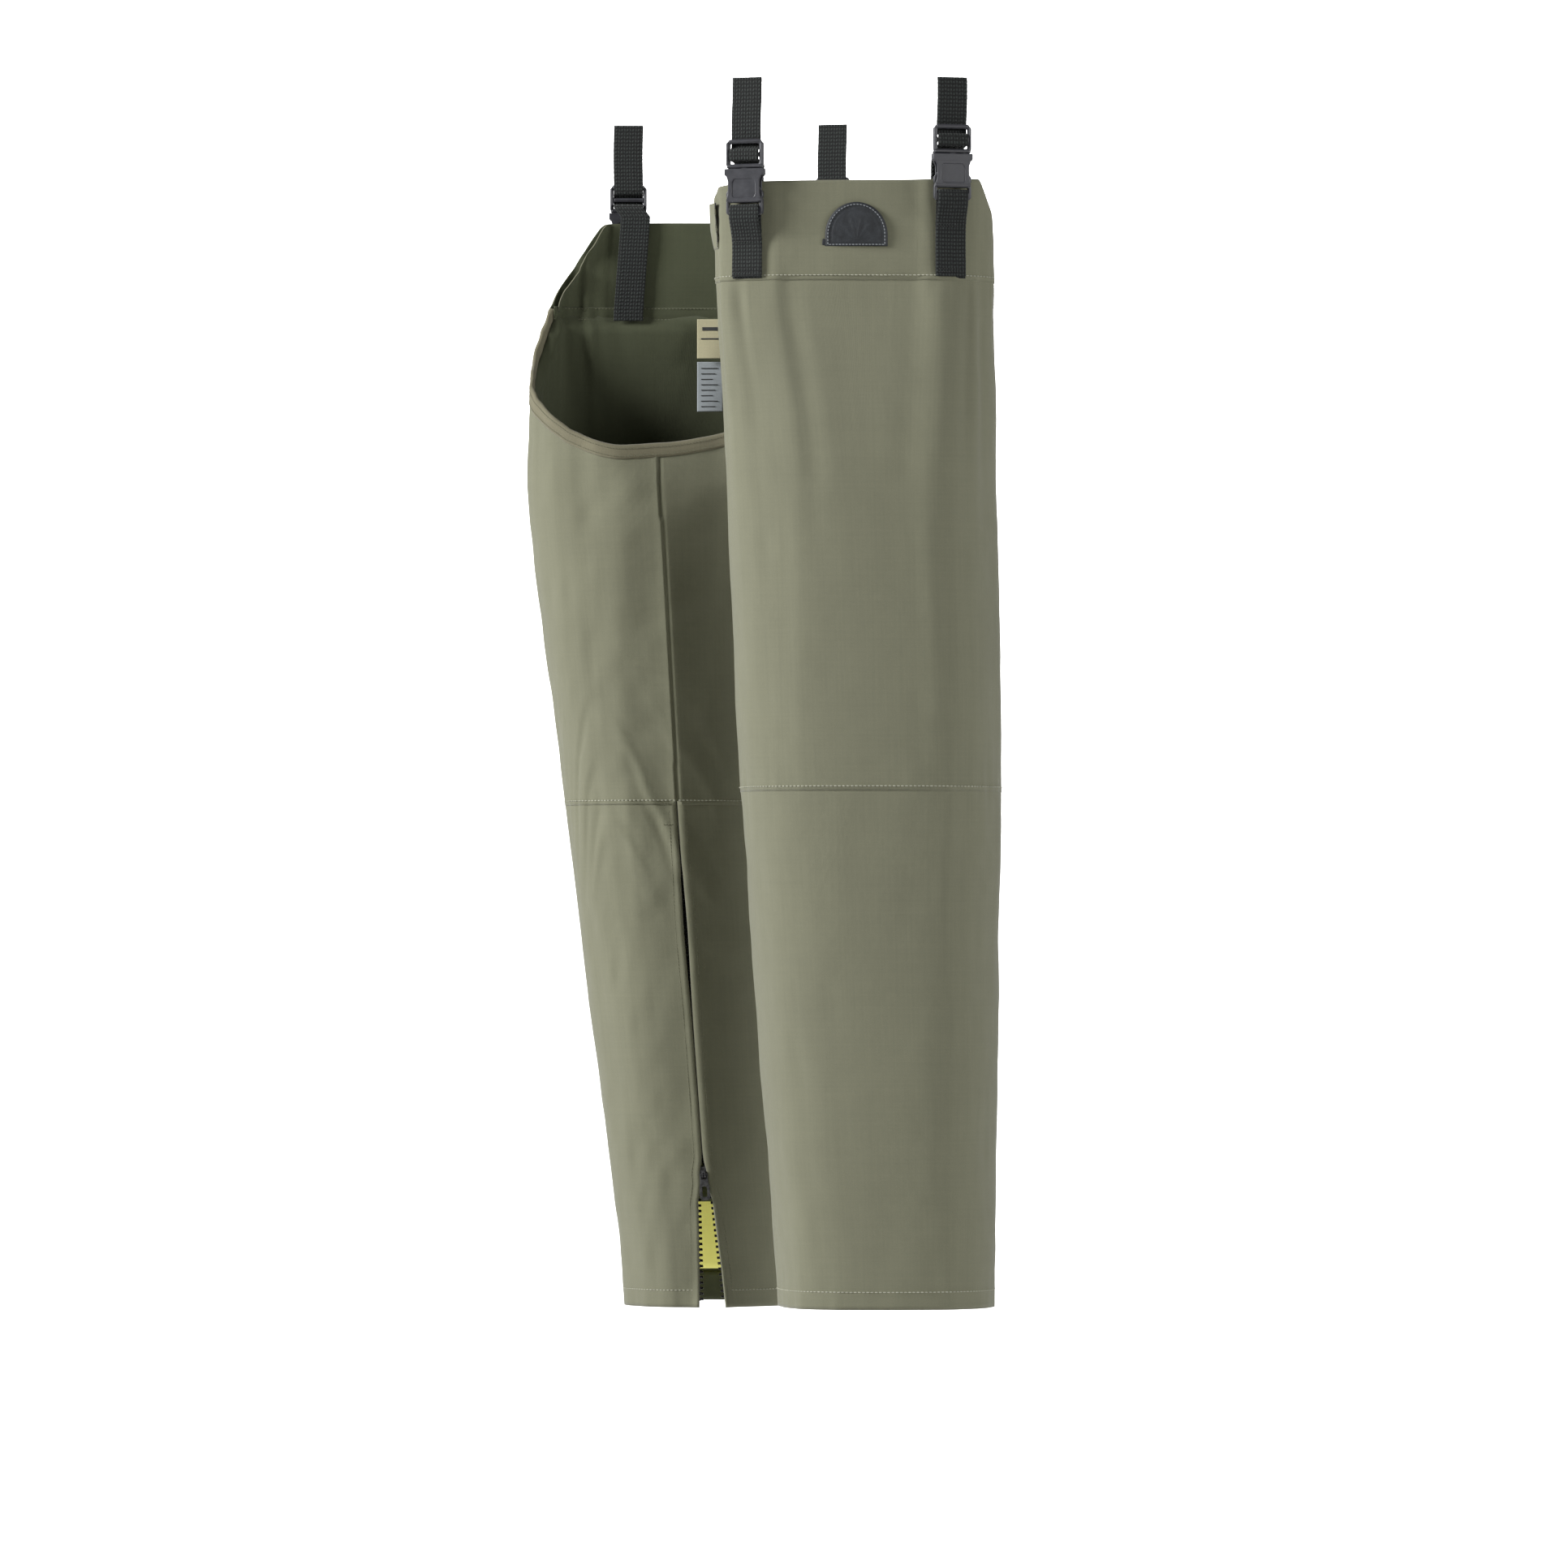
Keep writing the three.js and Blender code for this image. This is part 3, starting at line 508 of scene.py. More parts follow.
def drape(leg, angle, z):
    """How far the cloth stands out of the plain tube: hanging folds, crumple and seam puckers."""
    seed = 11 if leg["front"] < 0 else 47
    u = angle / (2 * math.pi) + 0.5
    v = z / YOKE_TOP
    back = np.clip(-np.cos(angle), 0, 1)
    on_yoke = 0.35 if leg["front"] < 0 else 0.8
    hung = np.where(z < YOKE_SEAM, np.exp(-np.maximum(YOKE_SEAM - z, 0) / 210), on_yoke)
    sway = 0.014 * smooth_noise(seed + 9, u, v, 5, 4)
    long_folds = 3.0 * smooth_noise(seed, u + sway, v * 0.8, 21, 2)
    fine_folds = 1.7 * smooth_noise(seed + 1, u + sway, v, 47, 5)
    crumple = (1.1 + 0.9 * back) * smooth_noise(seed + 2, u, v, 13, 15)
    crumple = crumple + (0.35 + 0.35 * back) * smooth_noise(seed + 3, u + 0.3 * v, v, 41, 43)
    out = long_folds * (0.3 + 0.9 * hung) + fine_folds * (0.12 + hung) + crumple
    slant = v + 0.12 * np.sin(angle * 3) + 0.01 * crumple
    pulls = smooth_noise(seed + 4, u, slant, 9, 52)
    out = out + 1.3 * back ** 0.5 * gauss(z - KNEE, 70) * pulls - side_hollow(leg, angle, z)
    for seam, reach, size in ((YOKE_SEAM, 30, 2.2), (KNEE, 18, 1.0), (0, 20, 0.9)):
        out = out + seam_puckers(seed + int(seam), u, np.abs(z - seam), reach, size)
        if seam:
            out = out - 0.25 * gauss(z - seam, 3.0)
    return out * (1 - under_straps(leg, angle, z))


def cloth_grid(leg, angles, heights, inset=0.0, extra=0.0):
    """Surface points for grids of angle and height, displaced by the drape; and their uv."""
    base = surface(leg, angles, heights, inset)
    step = 0.004
    tangent = surface(leg, angles + step, heights, inset) - surface(leg, angles - step, heights,
                                                                   inset)
    up = np.array([0.0, 0.0, 1.0])
    normal = np.cross(tangent, up) * -leg["front"]
    normal /= np.maximum(np.linalg.norm(normal, axis=-1, keepdims=True), 1e-9)
    out = drape(leg, angles, heights) + extra
    points = base + normal * out[..., None]
    step_u = np.linalg.norm(np.diff(points, axis=1), axis=-1)
    u = np.concatenate([np.zeros((len(points), 1)), np.cumsum(step_u, axis=1)], axis=1)
    u = np.broadcast_to(u[len(u) // 2], u.shape)
    return points, np.stack([u * MM, heights * MM], -1)


def cloth_piece(name, leg, angles, heights, slot, body, replaces, inset=0.0, extra=0.0,
                closed=False, thickness=CLOTH, inside=None, rim=None):
    """A sheet of a leg from its angles and heights. Its flat size is worked out here, but it is
    neither kept nor returned.
    """
    angles, heights = np.broadcast_arrays(angles, heights)
    points, uv = cloth_grid(leg, angles, heights, inset, extra)
    rows, columns = points.shape[:2]
    faces = grid_faces(rows, columns, closed)
    if leg["front"] > 0:
        faces = [f[::-1] for f in faces]
    piece = add_piece(name, to_row(leg, points.reshape(-1, 3)), faces, slot, body, replaces,
                      uv=uv.reshape(-1, 2))
    thicken(piece, thickness, inside=inside, rim=rim)
    width = float(uv[:, -1, 0].max() + (uv[0, 1, 0] if closed else 0))
    height = float((heights.max() - heights.min()) * MM)
    spans = np.linalg.norm(np.diff(points, axis=1), axis=-1)
    rise = np.abs(np.diff(heights, axis=0))
    area = float((spans[:-1] * (rise[:, :-1] + rise[:, 1:]) / 2).sum() * MM * MM)
    width = max(width, area / height / 0.999)


def graded(low, high, step):
    """Even values from low to high, about a step apart."""
    count = max(2, int(round((high - low) / step)) + 1)
    return np.linspace(low, high, count)


# ---- stitches -------------------------------------------------------------------------------


def stitch_mesh(points, normals, pitch, length, radius):
    """Short thread ends up along a path of points, lying on the surface with its normals."""
    points, normals = np.asarray(points, float), np.asarray(normals, float)
    reach = path_lengths(points)
    stitches = []
    for start in np.arange(pitch / 2, reach[-1] - length / 2, pitch):
        ends = [np.array([np.interp(start + side * length / 2, reach, points[:, k])
                          for k in range(3)]) for side in (-1, 1)]
        normal = np.array([np.interp(start, reach, normals[:, k]) for k in range(3)])
        normal /= max(np.linalg.norm(normal), 1e-9)
        along = ends[1] - ends[0]
        side = np.cross(along / np.linalg.norm(along), normal)
        vertices = []
        for share, size in ((0.0, 0.35), (0.3, 1.0), (0.7, 1.0), (1.0, 0.35)):
            centre = ends[0] + along * share + normal * radius * 0.35
            for turn in np.arange(6) * math.pi / 3:
                vertices.append(centre + (side * math.cos(turn) + normal * math.sin(turn))
                                * radius * size)
        stitches.append((vertices, tube_faces(4, 6)))
    return merge(stitches)


def merge(parts):
    """Several (vertices, faces) as one."""
    vertices, faces = [], []
    for v, f in parts:
        first = len(vertices)
        vertices.extend(v)
        faces.extend(tuple(i + first for i in face) for face in f)
    return vertices, faces


def leg_stitches(leg, angles, heights, lift=0.0, pitch=3.3, length=2.3, radius=0.3):
    angles, heights = np.broadcast_arrays(np.asarray(angles, float), np.asarray(heights, float))
    grid_a, grid_z = angles[None, :], heights[None, :]
    extra = 0.22 * smooth_noise(21, grid_a / 6.28, grid_z / YOKE_TOP, 80, 60)
    points, _ = cloth_grid(leg, grid_a, grid_z, 0.0, extra + lift)
    outer, _ = cloth_grid(leg, grid_a, grid_z, 0.0, extra + lift + 1.0)
    return stitch_mesh(points[0], outer[0] - points[0], pitch, length, radius)


def add_stitches(name, leg, parts, material, body, slot="shell_cloth"):
    vertices, faces = merge(parts)
    add_piece(name, to_row(leg, vertices), faces, slot, body, material=material)


# ---- cloth pieces of a leg ------------------------------------------------------------------

SEAM_LAP = 7.0  # the upper cloth laps over the lower one at a seam


def around(count):
    return np.linspace(-math.pi, math.pi, count)


def add_thigh(name, leg, body):
    """The cloth from the yoke to the knee: a closed tube, creased down its back seam."""
    near_seam = math.pi - np.radians([0.15, 0.45, 0.8, 1.2, 1.8])
    angles = np.sort(np.concatenate([around(231)[:-1], near_seam, -near_seam]))[None, :]
    share = np.linspace(0, 1, 118)[:, None]
    top = np.minimum(YOKE_SEAM + 1, edge_height(leg, angles) - 3)
    bottom = KNEE - SEAM_LAP / 2
    heights = bottom + (top - bottom) * share
    lap = 0.3 * np.clip((KNEE + 4 - heights) / 3, 0, 1)
    off = surface(leg, angles, heights, 0)[..., 0] - section_at(leg, heights)[2]
    back = np.cos(angles) < 0
    back_seam = back * (np.where(off < 0, 1.1, -0.3) * np.exp(-np.abs(off) / 5)
                        - 1.2 * gauss(off - 0.9, 0.7))
    cloth_piece(f"{name}_thigh_cloth", leg, angles, heights, "shell_cloth", body,
                [f"{name}_thigh_shell"], extra=lap + back_seam, closed=True,
                inside="inner_cloth")


def flap_gap(z):
    """Half of the gap between the two edges of the cloth down the back of the calf."""
    slider = 3.0 * gauss(z - ZIP_OPEN - 4, 11)
    return 0.6 + 1.3 * zip_spread(z) + slider + 1.5 * gauss(z - 315, 50)


def add_shin(name, leg, body):
    """The cloth below the knee, open down the calf, with both of its edges rolled."""
    heights = graded(0, KNEE - 0.5, 3.6)[:, None]
    low = back_angle(leg, -flap_gap(heights), heights)
    high = back_angle(leg, flap_gap(heights), heights)
    share = np.linspace(0, 1, 240)[None, :]
    share = np.clip(share - 0.035 * np.sin(share * 2 * math.pi), 0, 1)
    grid = low + (high - low) * share
    heights = np.broadcast_to(heights, grid.shape)
    x = surface(leg, grid, heights, 0)[..., 0]
    seam = section_at(leg, heights)[2]
    edge_distance = np.abs(x - seam) - flap_gap(heights)
    back = np.cos(grid) < 0
    rolled = np.where(back, 1.4 * np.exp(-np.maximum(edge_distance, 0) / 3.0), 0)
    curl = np.where(back, 2.5 * gauss(edge_distance, 5) * gauss(heights, 14), 0)
    cloth_piece(f"{name}_shin_cloth", leg, grid, heights, "shell_cloth", body,
                [f"{name}_shin_shell"], extra=rolled + curl, inside="inner_cloth")


def seam_range(leg, height):
    """The angles at both sides of the front where the top edge falls below a height."""
    sweep = np.radians(np.arange(0, 180, 0.25))
    right = sweep[np.argmax(edge_height(leg, sweep) < height)]
    left = -sweep[np.argmax(edge_height(leg, -sweep) < height)]
    return left, right


def add_yoke(name, leg, body):
    """The yoke and its facing, which stands off along the slanted sides and gathers at its foot."""
    left, right = seam_range(leg, YOKE_SEAM + 3)
    angles = np.linspace(left, right, 150)[None, :]
    share = np.linspace(0, 1, 34)[:, None]
    bottom = YOKE_SEAM - SEAM_LAP / 2
    heights = bottom + (edge_height(leg, angles) - bottom) * share
    grid = np.broadcast_to(angles, heights.shape)
    lap = 0.3 * np.clip((YOKE_SEAM + 4 - heights) / 3, 0, 1)
    cloth_piece(f"{name}_yoke_cloth", leg, grid, heights, "shell_cloth", body,
                [f"{name}_yoke"], extra=0.4 + lap, inside="inner_cloth")
    top = edge_height(leg, angles)
    foot = YOKE_SEAM + 2
    facing = foot + np.maximum(top - 0.2 - foot, 1) * share
    depth = top - facing
    keep = top[0] > YOKE_SEAM + 12
    slope = np.gradient(top[0]) / plan_steps(surface(leg, angles, top, 0)[0])
    slanted = blurred(np.clip(np.abs(slope) - 0.4, 0, 0.8) / 0.8)
    waves = 1 + 0.5 * smooth_noise(6, angles / 6.28, top * 0 + 0.5, 90, 1)
    stand_off = 5.0 * slanted[None, :] * waves * np.exp(-depth / 10)
    gathers = np.abs(smooth_noise(8, grid / 6, facing * 0 + 0.5, 75, 1))
    gathers = 1.3 * gathers * np.exp((foot - facing) / 22) * (1 - under_straps(leg, grid, facing))
    cloth_piece(f"{name}_yoke_facing_cloth", leg, grid[:, keep], facing[:, keep],
                "inner_cloth", body, [f"{name}_yoke_facing"],
                inset=(1.8 + stand_off + gathers)[:, keep], thickness=0.9, rim="shell_cloth")


def add_side_fold(leg, body):
    """The near yoke's inseam side is doubled: a pale fold stands out, and the dark opening beside
    it is painted shade, a continuous line of dark thread.
    """
    front, foot = -70, YOKE_SEAM + 24
    turns = np.radians(np.linspace(-98, front, 14))[None, :]
    share = np.linspace(0, 1, 18)[:, None]
    top = np.minimum(edge_height(leg, turns) + 1, YOKE_TOP - 19)
    heights = foot + (top - foot) * share
    keep = heights[-1] > foot + 6
    grid = np.broadcast_to(turns, heights.shape)[:, keep]
    cloth_piece("left_side_fold", leg, grid, heights[:, keep], "shell_cloth", body, [],
                extra=0.8 + 3.4 * share ** 0.7, thickness=1.0)
    height = np.linspace(foot + 1, YOKE_TOP - 17, 60)
    rise = (height - foot) / (YOKE_TOP - foot)
    # Painted shade: overlapping dark thread laid along the fold's front edge stands for the shade
    # in the opening beside the fold.
    slit_shade_line = leg_stitches(leg, np.radians(front + np.sin(height / 2.2)), height,
                        0.9 + 3.4 * rise ** 0.7, 2.0, 2.2, 0.55)
    add_stitches("left_side_slit_shade", leg, [slit_shade_line], "thread_dark", body)


def add_binding(name, leg, body):
    """A folded tape over the low back edge, from one end of the yoke seam round to the other.
    Its width is measured square to the edge."""
    left, right = seam_range(leg, YOKE_SEAM + BINDING - 4)
    angles = np.linspace(right, left + 2 * math.pi, 260)
    top = np.minimum(edge_height(leg, angles), YOKE_SEAM + 4)
    along = plan_steps(surface(leg, angles, top, 0))
    slope = blurred(np.gradient(top) / along)
    turn = along / np.gradient(angles)
    size = np.hypot(1, slope)
    wobble = 0.5 * smooth_noise(5, angles / (2 * math.pi), angles * 0 + 0.4, 60, 1)

    def line(down):
        return angles + (down + wobble) * slope / size / turn, top - (down + wobble) / size

    profile = [(BINDING, 0.5), (BINDING - 1.5, 1.0), (6.5, 1.15), (2.0, 1.3), (0.4, 0.9),
               (-0.3, -0.4), (0.3, -2.0), (2.0, -2.8), (6.5, -2.8), (BINDING, -2.6)]
    points = []
    for down, out in profile:
        place, height = line(down)
        points.append(cloth_grid(leg, place[None, :], height[None, :], 0.0, out)[0][0])
    points = np.array(points)
    faces = grid_faces(len(profile), len(angles))
    if leg["front"] < 0:
        faces = [f[::-1] for f in faces]
    reach = path_lengths(points[0])
    uv = np.stack(np.broadcast_arrays(reach[None, :] * MM,
                                      np.arange(len(profile))[:, None] * 2.6 * MM), -1)
    piece = add_piece(f"{name}_binding_tape", to_row(leg, points.reshape(-1, 3)), faces, "binding",
                      body, [f"{name}_scoop_binding"], uv=uv.reshape(-1, 2))
    thicken(piece, 0.5, 1.0)
    rows = [leg_stitches(leg, *line(down), 1.7, 2.6, 1.9, 0.26) for down in (3.2, 9.6)]
    add_stitches(f"{name}_binding_stitches", leg, rows, "thread_olive", body, "binding")


def clear_of_zip(leg, angles, heights):
    """The angles, held back where they would come too near the back seam."""
    side = np.sign(angles)
    return side * np.minimum(np.abs(angles), np.abs(back_angle(leg, side * LINER_GAP, heights)))


def add_lining(name, leg, body):
    """The quilted pad, the lining over it, turned outward at its top, and the hem's facing."""
    share = np.linspace(0, 1, 150)[:, None]
    low = back_angle(leg, -LINER_GAP, np.array(HEM))
    angles = low - 2 * low * share.T
    top = np.minimum(YOKE_SEAM - 6, edge_height(leg, angles) - BINDING - 6)
    heights = (HEM + 3) + (top - HEM - 3) * share
    grid = clear_of_zip(leg, angles, heights)
    quilt = 0.7 * np.abs(np.sin(grid * 16)) ** 0.5
    cloth_piece(f"{name}_liner_pad", leg, grid, heights - 9 * share, "protective_liner", body,
                [f"{name}_protective_liner"], inset=LINER_INSET + 1, extra=quilt - 0.7,
                thickness=2.4)
    foot = HEM + 60
    heights = foot + (top + 5.5 - foot) * np.linspace(0, 1, 130)[:, None]
    turned = np.clip((heights - top + 6) / 8, 0, 1)
    cloth_piece(f"{name}_lining_cloth", leg, clear_of_zip(leg, angles, heights), heights,
                "inner_cloth", body, [], inset=LINER_INSET + 4.4 - 5.6 * turned, thickness=0.6)
    heights = np.linspace(0.6, HEM, 8)[:, None]
    cloth_piece(f"{name}_hem_facing_cloth", leg, grid[:8], heights, "inner_cloth", body,
                [f"{name}_hem_facing"], inset=2.4, thickness=0.9)


def add_inner_band(name, leg, body):
    """The tape over the yoke seam on the inside, gathered a little."""
    left, right = seam_range(leg, YOKE_SEAM + 6)
    angles = np.linspace(left, right, 190)[None, :]
    heights = YOKE_SEAM + np.linspace(-6, 6, 7)[:, None]
    gathers = 0.5 * smooth_noise(8, angles / 6, heights * 0 + 0.5, 120, 1)
    cloth_piece(f"{name}_yoke_seam_tape", leg, angles, heights, "inner_cloth", body, [],
                inset=3.1, extra=gathers, thickness=0.6)
    rows = [leg_stitches(leg, angles[0], YOKE_SEAM + rise, -3.9, 3.0, 2.1, 0.3)
            for rise in (-4.6, 4.6)]
    add_stitches(f"{name}_seam_tape_stitches", leg, rows, "thread_olive", body, "inner_cloth")


def add_seam_stitches(name, leg, body):
    """Stitches along the yoke, knee and hem, and beside the zip with its two box rows."""
    left, right = seam_range(leg, YOKE_SEAM + 3)
    gap = flap_gap(np.array(HEM / 2 + 3)) + 4
    ends = [float(back_angle(leg, np.array(s * gap), np.array(14.5))) for s in (-1, 1)]
    for word, angles, height, lift, radius in (
            ("yoke", np.linspace(left, right, 320), YOKE_SEAM + 0.4, 1.0, 0.42),
            ("knee", around(420), KNEE + 0.3, 0.6, 0.42),
            ("hem", np.linspace(*ends, 420), 14.5, 0.05, 0.38)):
        row = leg_stitches(leg, angles, height, lift, 3.4, 2.5, radius)
        add_stitches(f"{name}_{word}_stitches", leg, [row], "thread_pale", body)
    heights = np.linspace(6, KNEE - 6, 160)
    rows = [leg_stitches(leg, back_angle(leg, side * (flap_gap(heights) + 6.5), heights),
                         heights, 0.1, 2.8, 2.0, 0.26)
            for side in (-1, 1)]
    for drop in (2.5, 20):
        offsets = np.linspace(-13, -1.5, 20)
        z = np.full(20, KNEE - drop)
        rows.append(leg_stitches(leg, back_angle(leg, offsets, z), z, 0.5, 2.4, 1.8, 0.3))
    add_stitches(f"{name}_placket_stitches", leg, rows, "thread_olive", body)


# ---- the zip --------------------------------------------------------------------------------


def add_zip(name, leg, body):
    """Both halves of the zip: a cloth tape, and a row of teeth half a pitch off the other row."""
    z = graded(3, KNEE - 12, 4.0)
    offsets, insets = np.array([3.6, 3.6, 8.0, 17.4]), (3.2, 3.7, 3.8, 3.8)
    for side, word in ((-1, "inseam"), (1, "outseam")):
        rows = []
        for offset, inset in zip(offsets, insets):
            angle = back_angle(leg, side * (offset + zip_spread(z)), z)
            row = surface(leg, angle, z, inset)
            row[:, 1] += leg["front"] * side_hollow(leg, angle, z)
            rows.append(row)
        uv = np.stack(np.broadcast_arrays(offsets[:, None] * MM, z[None, :] * MM), -1)
        tape = add_piece(f"{name}_zip_tape_cloth_{word}",
                         to_row(leg, np.array(rows).reshape(-1, 3)), grid_faces(4, len(z)),
                         "zip_tape", body, [f"{name}_zip_tape_{word}"], uv=uv.reshape(-1, 2))
        thicken(tape, 0.5, 0.0)
        heights = np.arange(7, KNEE - 16, TOOTH_PITCH) + (TOOTH_PITCH / 2 if side > 0 else 0)
        vertices, faces = merge([tooth(leg, side, height) for height in heights])
        add_piece(f"{name}_zip_tooth_row_{word}", to_row(leg, vertices), faces, "zip_teeth", body,
                  [f"{name}_zip_teeth_{word}"])


def tooth(leg, side, height):
    """One moulded tooth: a block on the tape's edge with a narrower neck and a round nose."""
    half = [(3.6, 1.5), (2.0, 1.5), (1.2, 0.9), (0.3, 1.2), (-0.5, 0.9)]
    outline = half + [(offset, -rise) for offset, rise in reversed(half)]
    spread = float(zip_spread(np.array(height)))
    vertices = []
    for inset, shrink in ((1.7, 0.75), (2.1, 1.0), (4.0, 1.0), (4.4, 0.75)):
        for offset, rise in outline:
            z = np.array(height + rise * shrink)
            angle = back_angle(leg, np.array(side * (offset + spread)), z)
            vertices.append(surface(leg, angle, z, inset))
    count = len(outline)
    faces = grid_faces(4, count, closed=True)
    faces.append(tuple(range(count)))
    faces.append(tuple(range(4 * count - 1, 3 * count - 1, -1)))
    return vertices, faces


# ---- rounded plates for buckles and zip pulls -----------------------------------------------


def rounded_plate(outline, holes, thickness, bevel, matrix, centre=0.0, turns=2):
    """A plate in the x, z plane with rounded edges and holes, as (vertices, faces) after a
    matrix. Outlines are [x, z] millimetres; centre is the y of its middle."""
    curve = bpy.data.curves.new("plate", "CURVE")
    curve.dimensions = "2D"
    curve.fill_mode = "BOTH"
    curve.extrude = thickness / 2 - bevel
    curve.bevel_depth = bevel
    curve.bevel_resolution = turns
    curve.offset = -bevel
    for path in [outline, *holes]:
        spline = curve.splines.new("POLY")
        spline.points.add(len(path) - 1)
        for point, (x, z) in zip(spline.points, path):
            point.co = (x, z, 0, 1)
        spline.use_cyclic_u = True
    helper = bpy.data.objects.new("plate", curve)
    bpy.context.scene.collection.objects.link(helper)
    bpy.context.view_layer.update()
    mesh = helper.evaluated_get(bpy.context.evaluated_depsgraph_get()).to_mesh()
    vertices = [matrix @ Vector((v.co.x, centre - v.co.z, v.co.y)) for v in mesh.vertices]
    faces = [tuple(p.vertices) for p in mesh.polygons]
    bpy.data.objects.remove(helper)
    bpy.data.curves.remove(curve)
    return [tuple(v) for v in vertices], faces


def rounded(points, radius, steps=4):
    """An outline with its corners rounded."""
    result = []
    count = len(points)
    for k in range(count):
        before, here, after = (Vector(points[(k + d) % count]) for d in (-1, 0, 1))
        to_before, to_after = before - here, after - here
        cut = min(radius, to_before.length * 0.45, to_after.length * 0.45)
        a, b = here + to_before.normalized() * cut, here + to_after.normalized() * cut
        for s in range(steps + 1):
            t = s / steps
            result.append(tuple((1 - t) ** 2 * a + 2 * t * (1 - t) * here + t * t * b))
    return result


def mirrored(half):
    return half + [(-x, z) for x, z in reversed(half)]


def slab(x0, z0, x1, z1, radius=0.8):
    return rounded([(x0, z0), (x1, z0), (x1, z1), (x0, z1)], radius)


def plates(matrix, shapes):
    """Several rounded plates joined: each is its outline, holes, thickness and bevel, and the y
    of its middle where that isn't 0."""
    return merge([rounded_plate(outline, holes, thickness, bevel, matrix, *middle)
                  for outline, holes, thickness, bevel, *middle in shapes])


def placed(vertices):
    return [tuple(np.array(v) * MM) for v in vertices]


def add_hard(name, shape, slot, body, replaces):
    """A hard piece from (vertices, faces) in row millimetres, with its corners left sharp."""
    vertices, faces = shape
    mesh = add_piece(name, placed(vertices), faces, slot, body, replaces).data
    bm = bmesh.new()
    bm.from_mesh(mesh)
    for edge in bm.edges:
        edge.smooth = len(edge.link_faces) == 2 and edge.calc_face_angle(0) < SHARP_ANGLE
    bm.to_mesh(mesh)
    bm.free()


# ---- straps and buckles ---------------------------------------------------------------------

MOUNTS = {m["name"]: m for m in frame["record"]["mounts"]}
FACE_OUT = 5.6  # the tail's front face, out from the yoke's surface

for leg_name, leg in LEGS.items():
    leg["strap_x"] = [MOUNTS[f"{leg_name}_{strap}_tail"]["pos_m"][0] / MM - leg["place"][0]
                      for strap in leg["straps"]]


def strap_matrix(leg_name, strap):
    """Strap frame to row millimetres: x across the webbing, -y out of the leg, z from the hem."""
    mount = MOUNTS[f"{leg_name}_{strap}_tail"]
    outward = Vector(mount["axis"]).normalized()
    up = Vector((0, 0, 1))
    across = (-outward).cross(up)
    place = Vector(mount["pos_m"]) / MM - outward * FACE_OUT
    place.z = LEGS[leg_name]["place"][2]
    rotation = Matrix((across, -outward, up)).transposed().to_4x4()
    return Matrix.Translation(place) @ rotation


def smooth_path(points, step):
    """A centripetal Catmull-Rom curve through y, z points, sampled evenly."""
    p = np.array([2 * np.array(points[0]) - points[1], *points,
                  2 * np.array(points[-1]) - points[-2]], float)
    fine = []
    for quad in zip(p, p[1:], p[2:], p[3:]):
        gaps = np.linalg.norm(np.diff(quad, axis=0), axis=1) ** 0.5
        knots = np.concatenate([[0.0], np.cumsum(gaps)])
        for t in np.linspace(knots[1], knots[2], 24, endpoint=False):
            layer = quad
            for lows, highs in (((0, 1, 2), (1, 2, 3)), ((0, 1), (2, 3)), ((1,), (2,))):
                layer = [((knots[high] - t) * a + (t - knots[low]) * b)
                         / (knots[high] - knots[low])
                         for a, b, low, high in zip(layer, layer[1:], lows, highs)]
            fine.append(layer[0])
    fine = np.array([*fine, p[-2]])
    reach = path_lengths(fine)
    even = np.linspace(0, reach[-1], max(8, int(reach[-1] / step)))
    return np.stack([np.interp(even, reach, fine[:, k]) for k in range(2)], -1), even


def webbing_mesh(path, matrix, sway, seed):
    """Ribbed webbing along a y, z path: rows of weft bumps, closed all round. sway(z) moves it
    sideways so that it hangs like cloth."""
    centre, reach = smooth_path(path, 0.42)
    tangent = np.gradient(centre, axis=0)
    tangent /= np.linalg.norm(tangent, axis=1, keepdims=True)
    normal = np.stack([-tangent[:, 1], tangent[:, 0]], -1)
    columns = 31
    across = np.linspace(-1, 1, columns)
    half = WEBBING / 2
    rib, rope = 3.2, 2.4
    x = across * half
    phase = reach[:, None] / rib * math.pi
    shift = (np.floor(x[None, :] / rope) % 2) * math.pi / 2
    bumps = np.abs(np.sin(phase + shift)) ** 0.7 * (0.55 + 0.45 * np.abs(
        np.sin(x[None, :] / rope * math.pi)) ** 0.6)
    rim = np.sqrt(np.clip(1 - across ** 8, 0, 1))[None, :]
    thick = (WEB_THICK / 2 - 0.32 + 0.5 * bumps) * (0.35 + 0.65 * rim)
    ragged = 0.12 * np.random.default_rng(seed).uniform(-1, 1, len(reach))
    layers = []
    for sign in (1, -1):
        y = centre[:, 0:1] + sign * normal[:, 0:1] * thick
        z = centre[:, 1:2] + sign * normal[:, 1:2] * thick
        edge = x[None, :] + ragged[:, None] * np.abs(across[None, :]) ** 6
        edge = edge + sway(centre[:, 1:2])
        layers.append(np.stack([edge, y, z], -1))
    points = np.concatenate([layers[0], layers[1][:, ::-1]], axis=1).reshape(-1, 3)
    u = np.concatenate([x, x[::-1] + 2 * half + 4])
    uv = np.stack(np.broadcast_arrays(u[None, :] * rib / rope * MM, reach[:, None] * MM), -1)
    vertices = placed(matrix @ Vector(p) for p in points)
    return vertices, tube_faces(len(reach), 2 * columns), uv.reshape(-1, 2)


STRAP_DROP = 2.0  # the straps end this far below the yoke seam
FEMALE_SLOT = 8.1  # the middle of the female half's slot, up from the buckle's foot
LADDER_SLOT = 44.8  # the middle of the ladder's lower slot


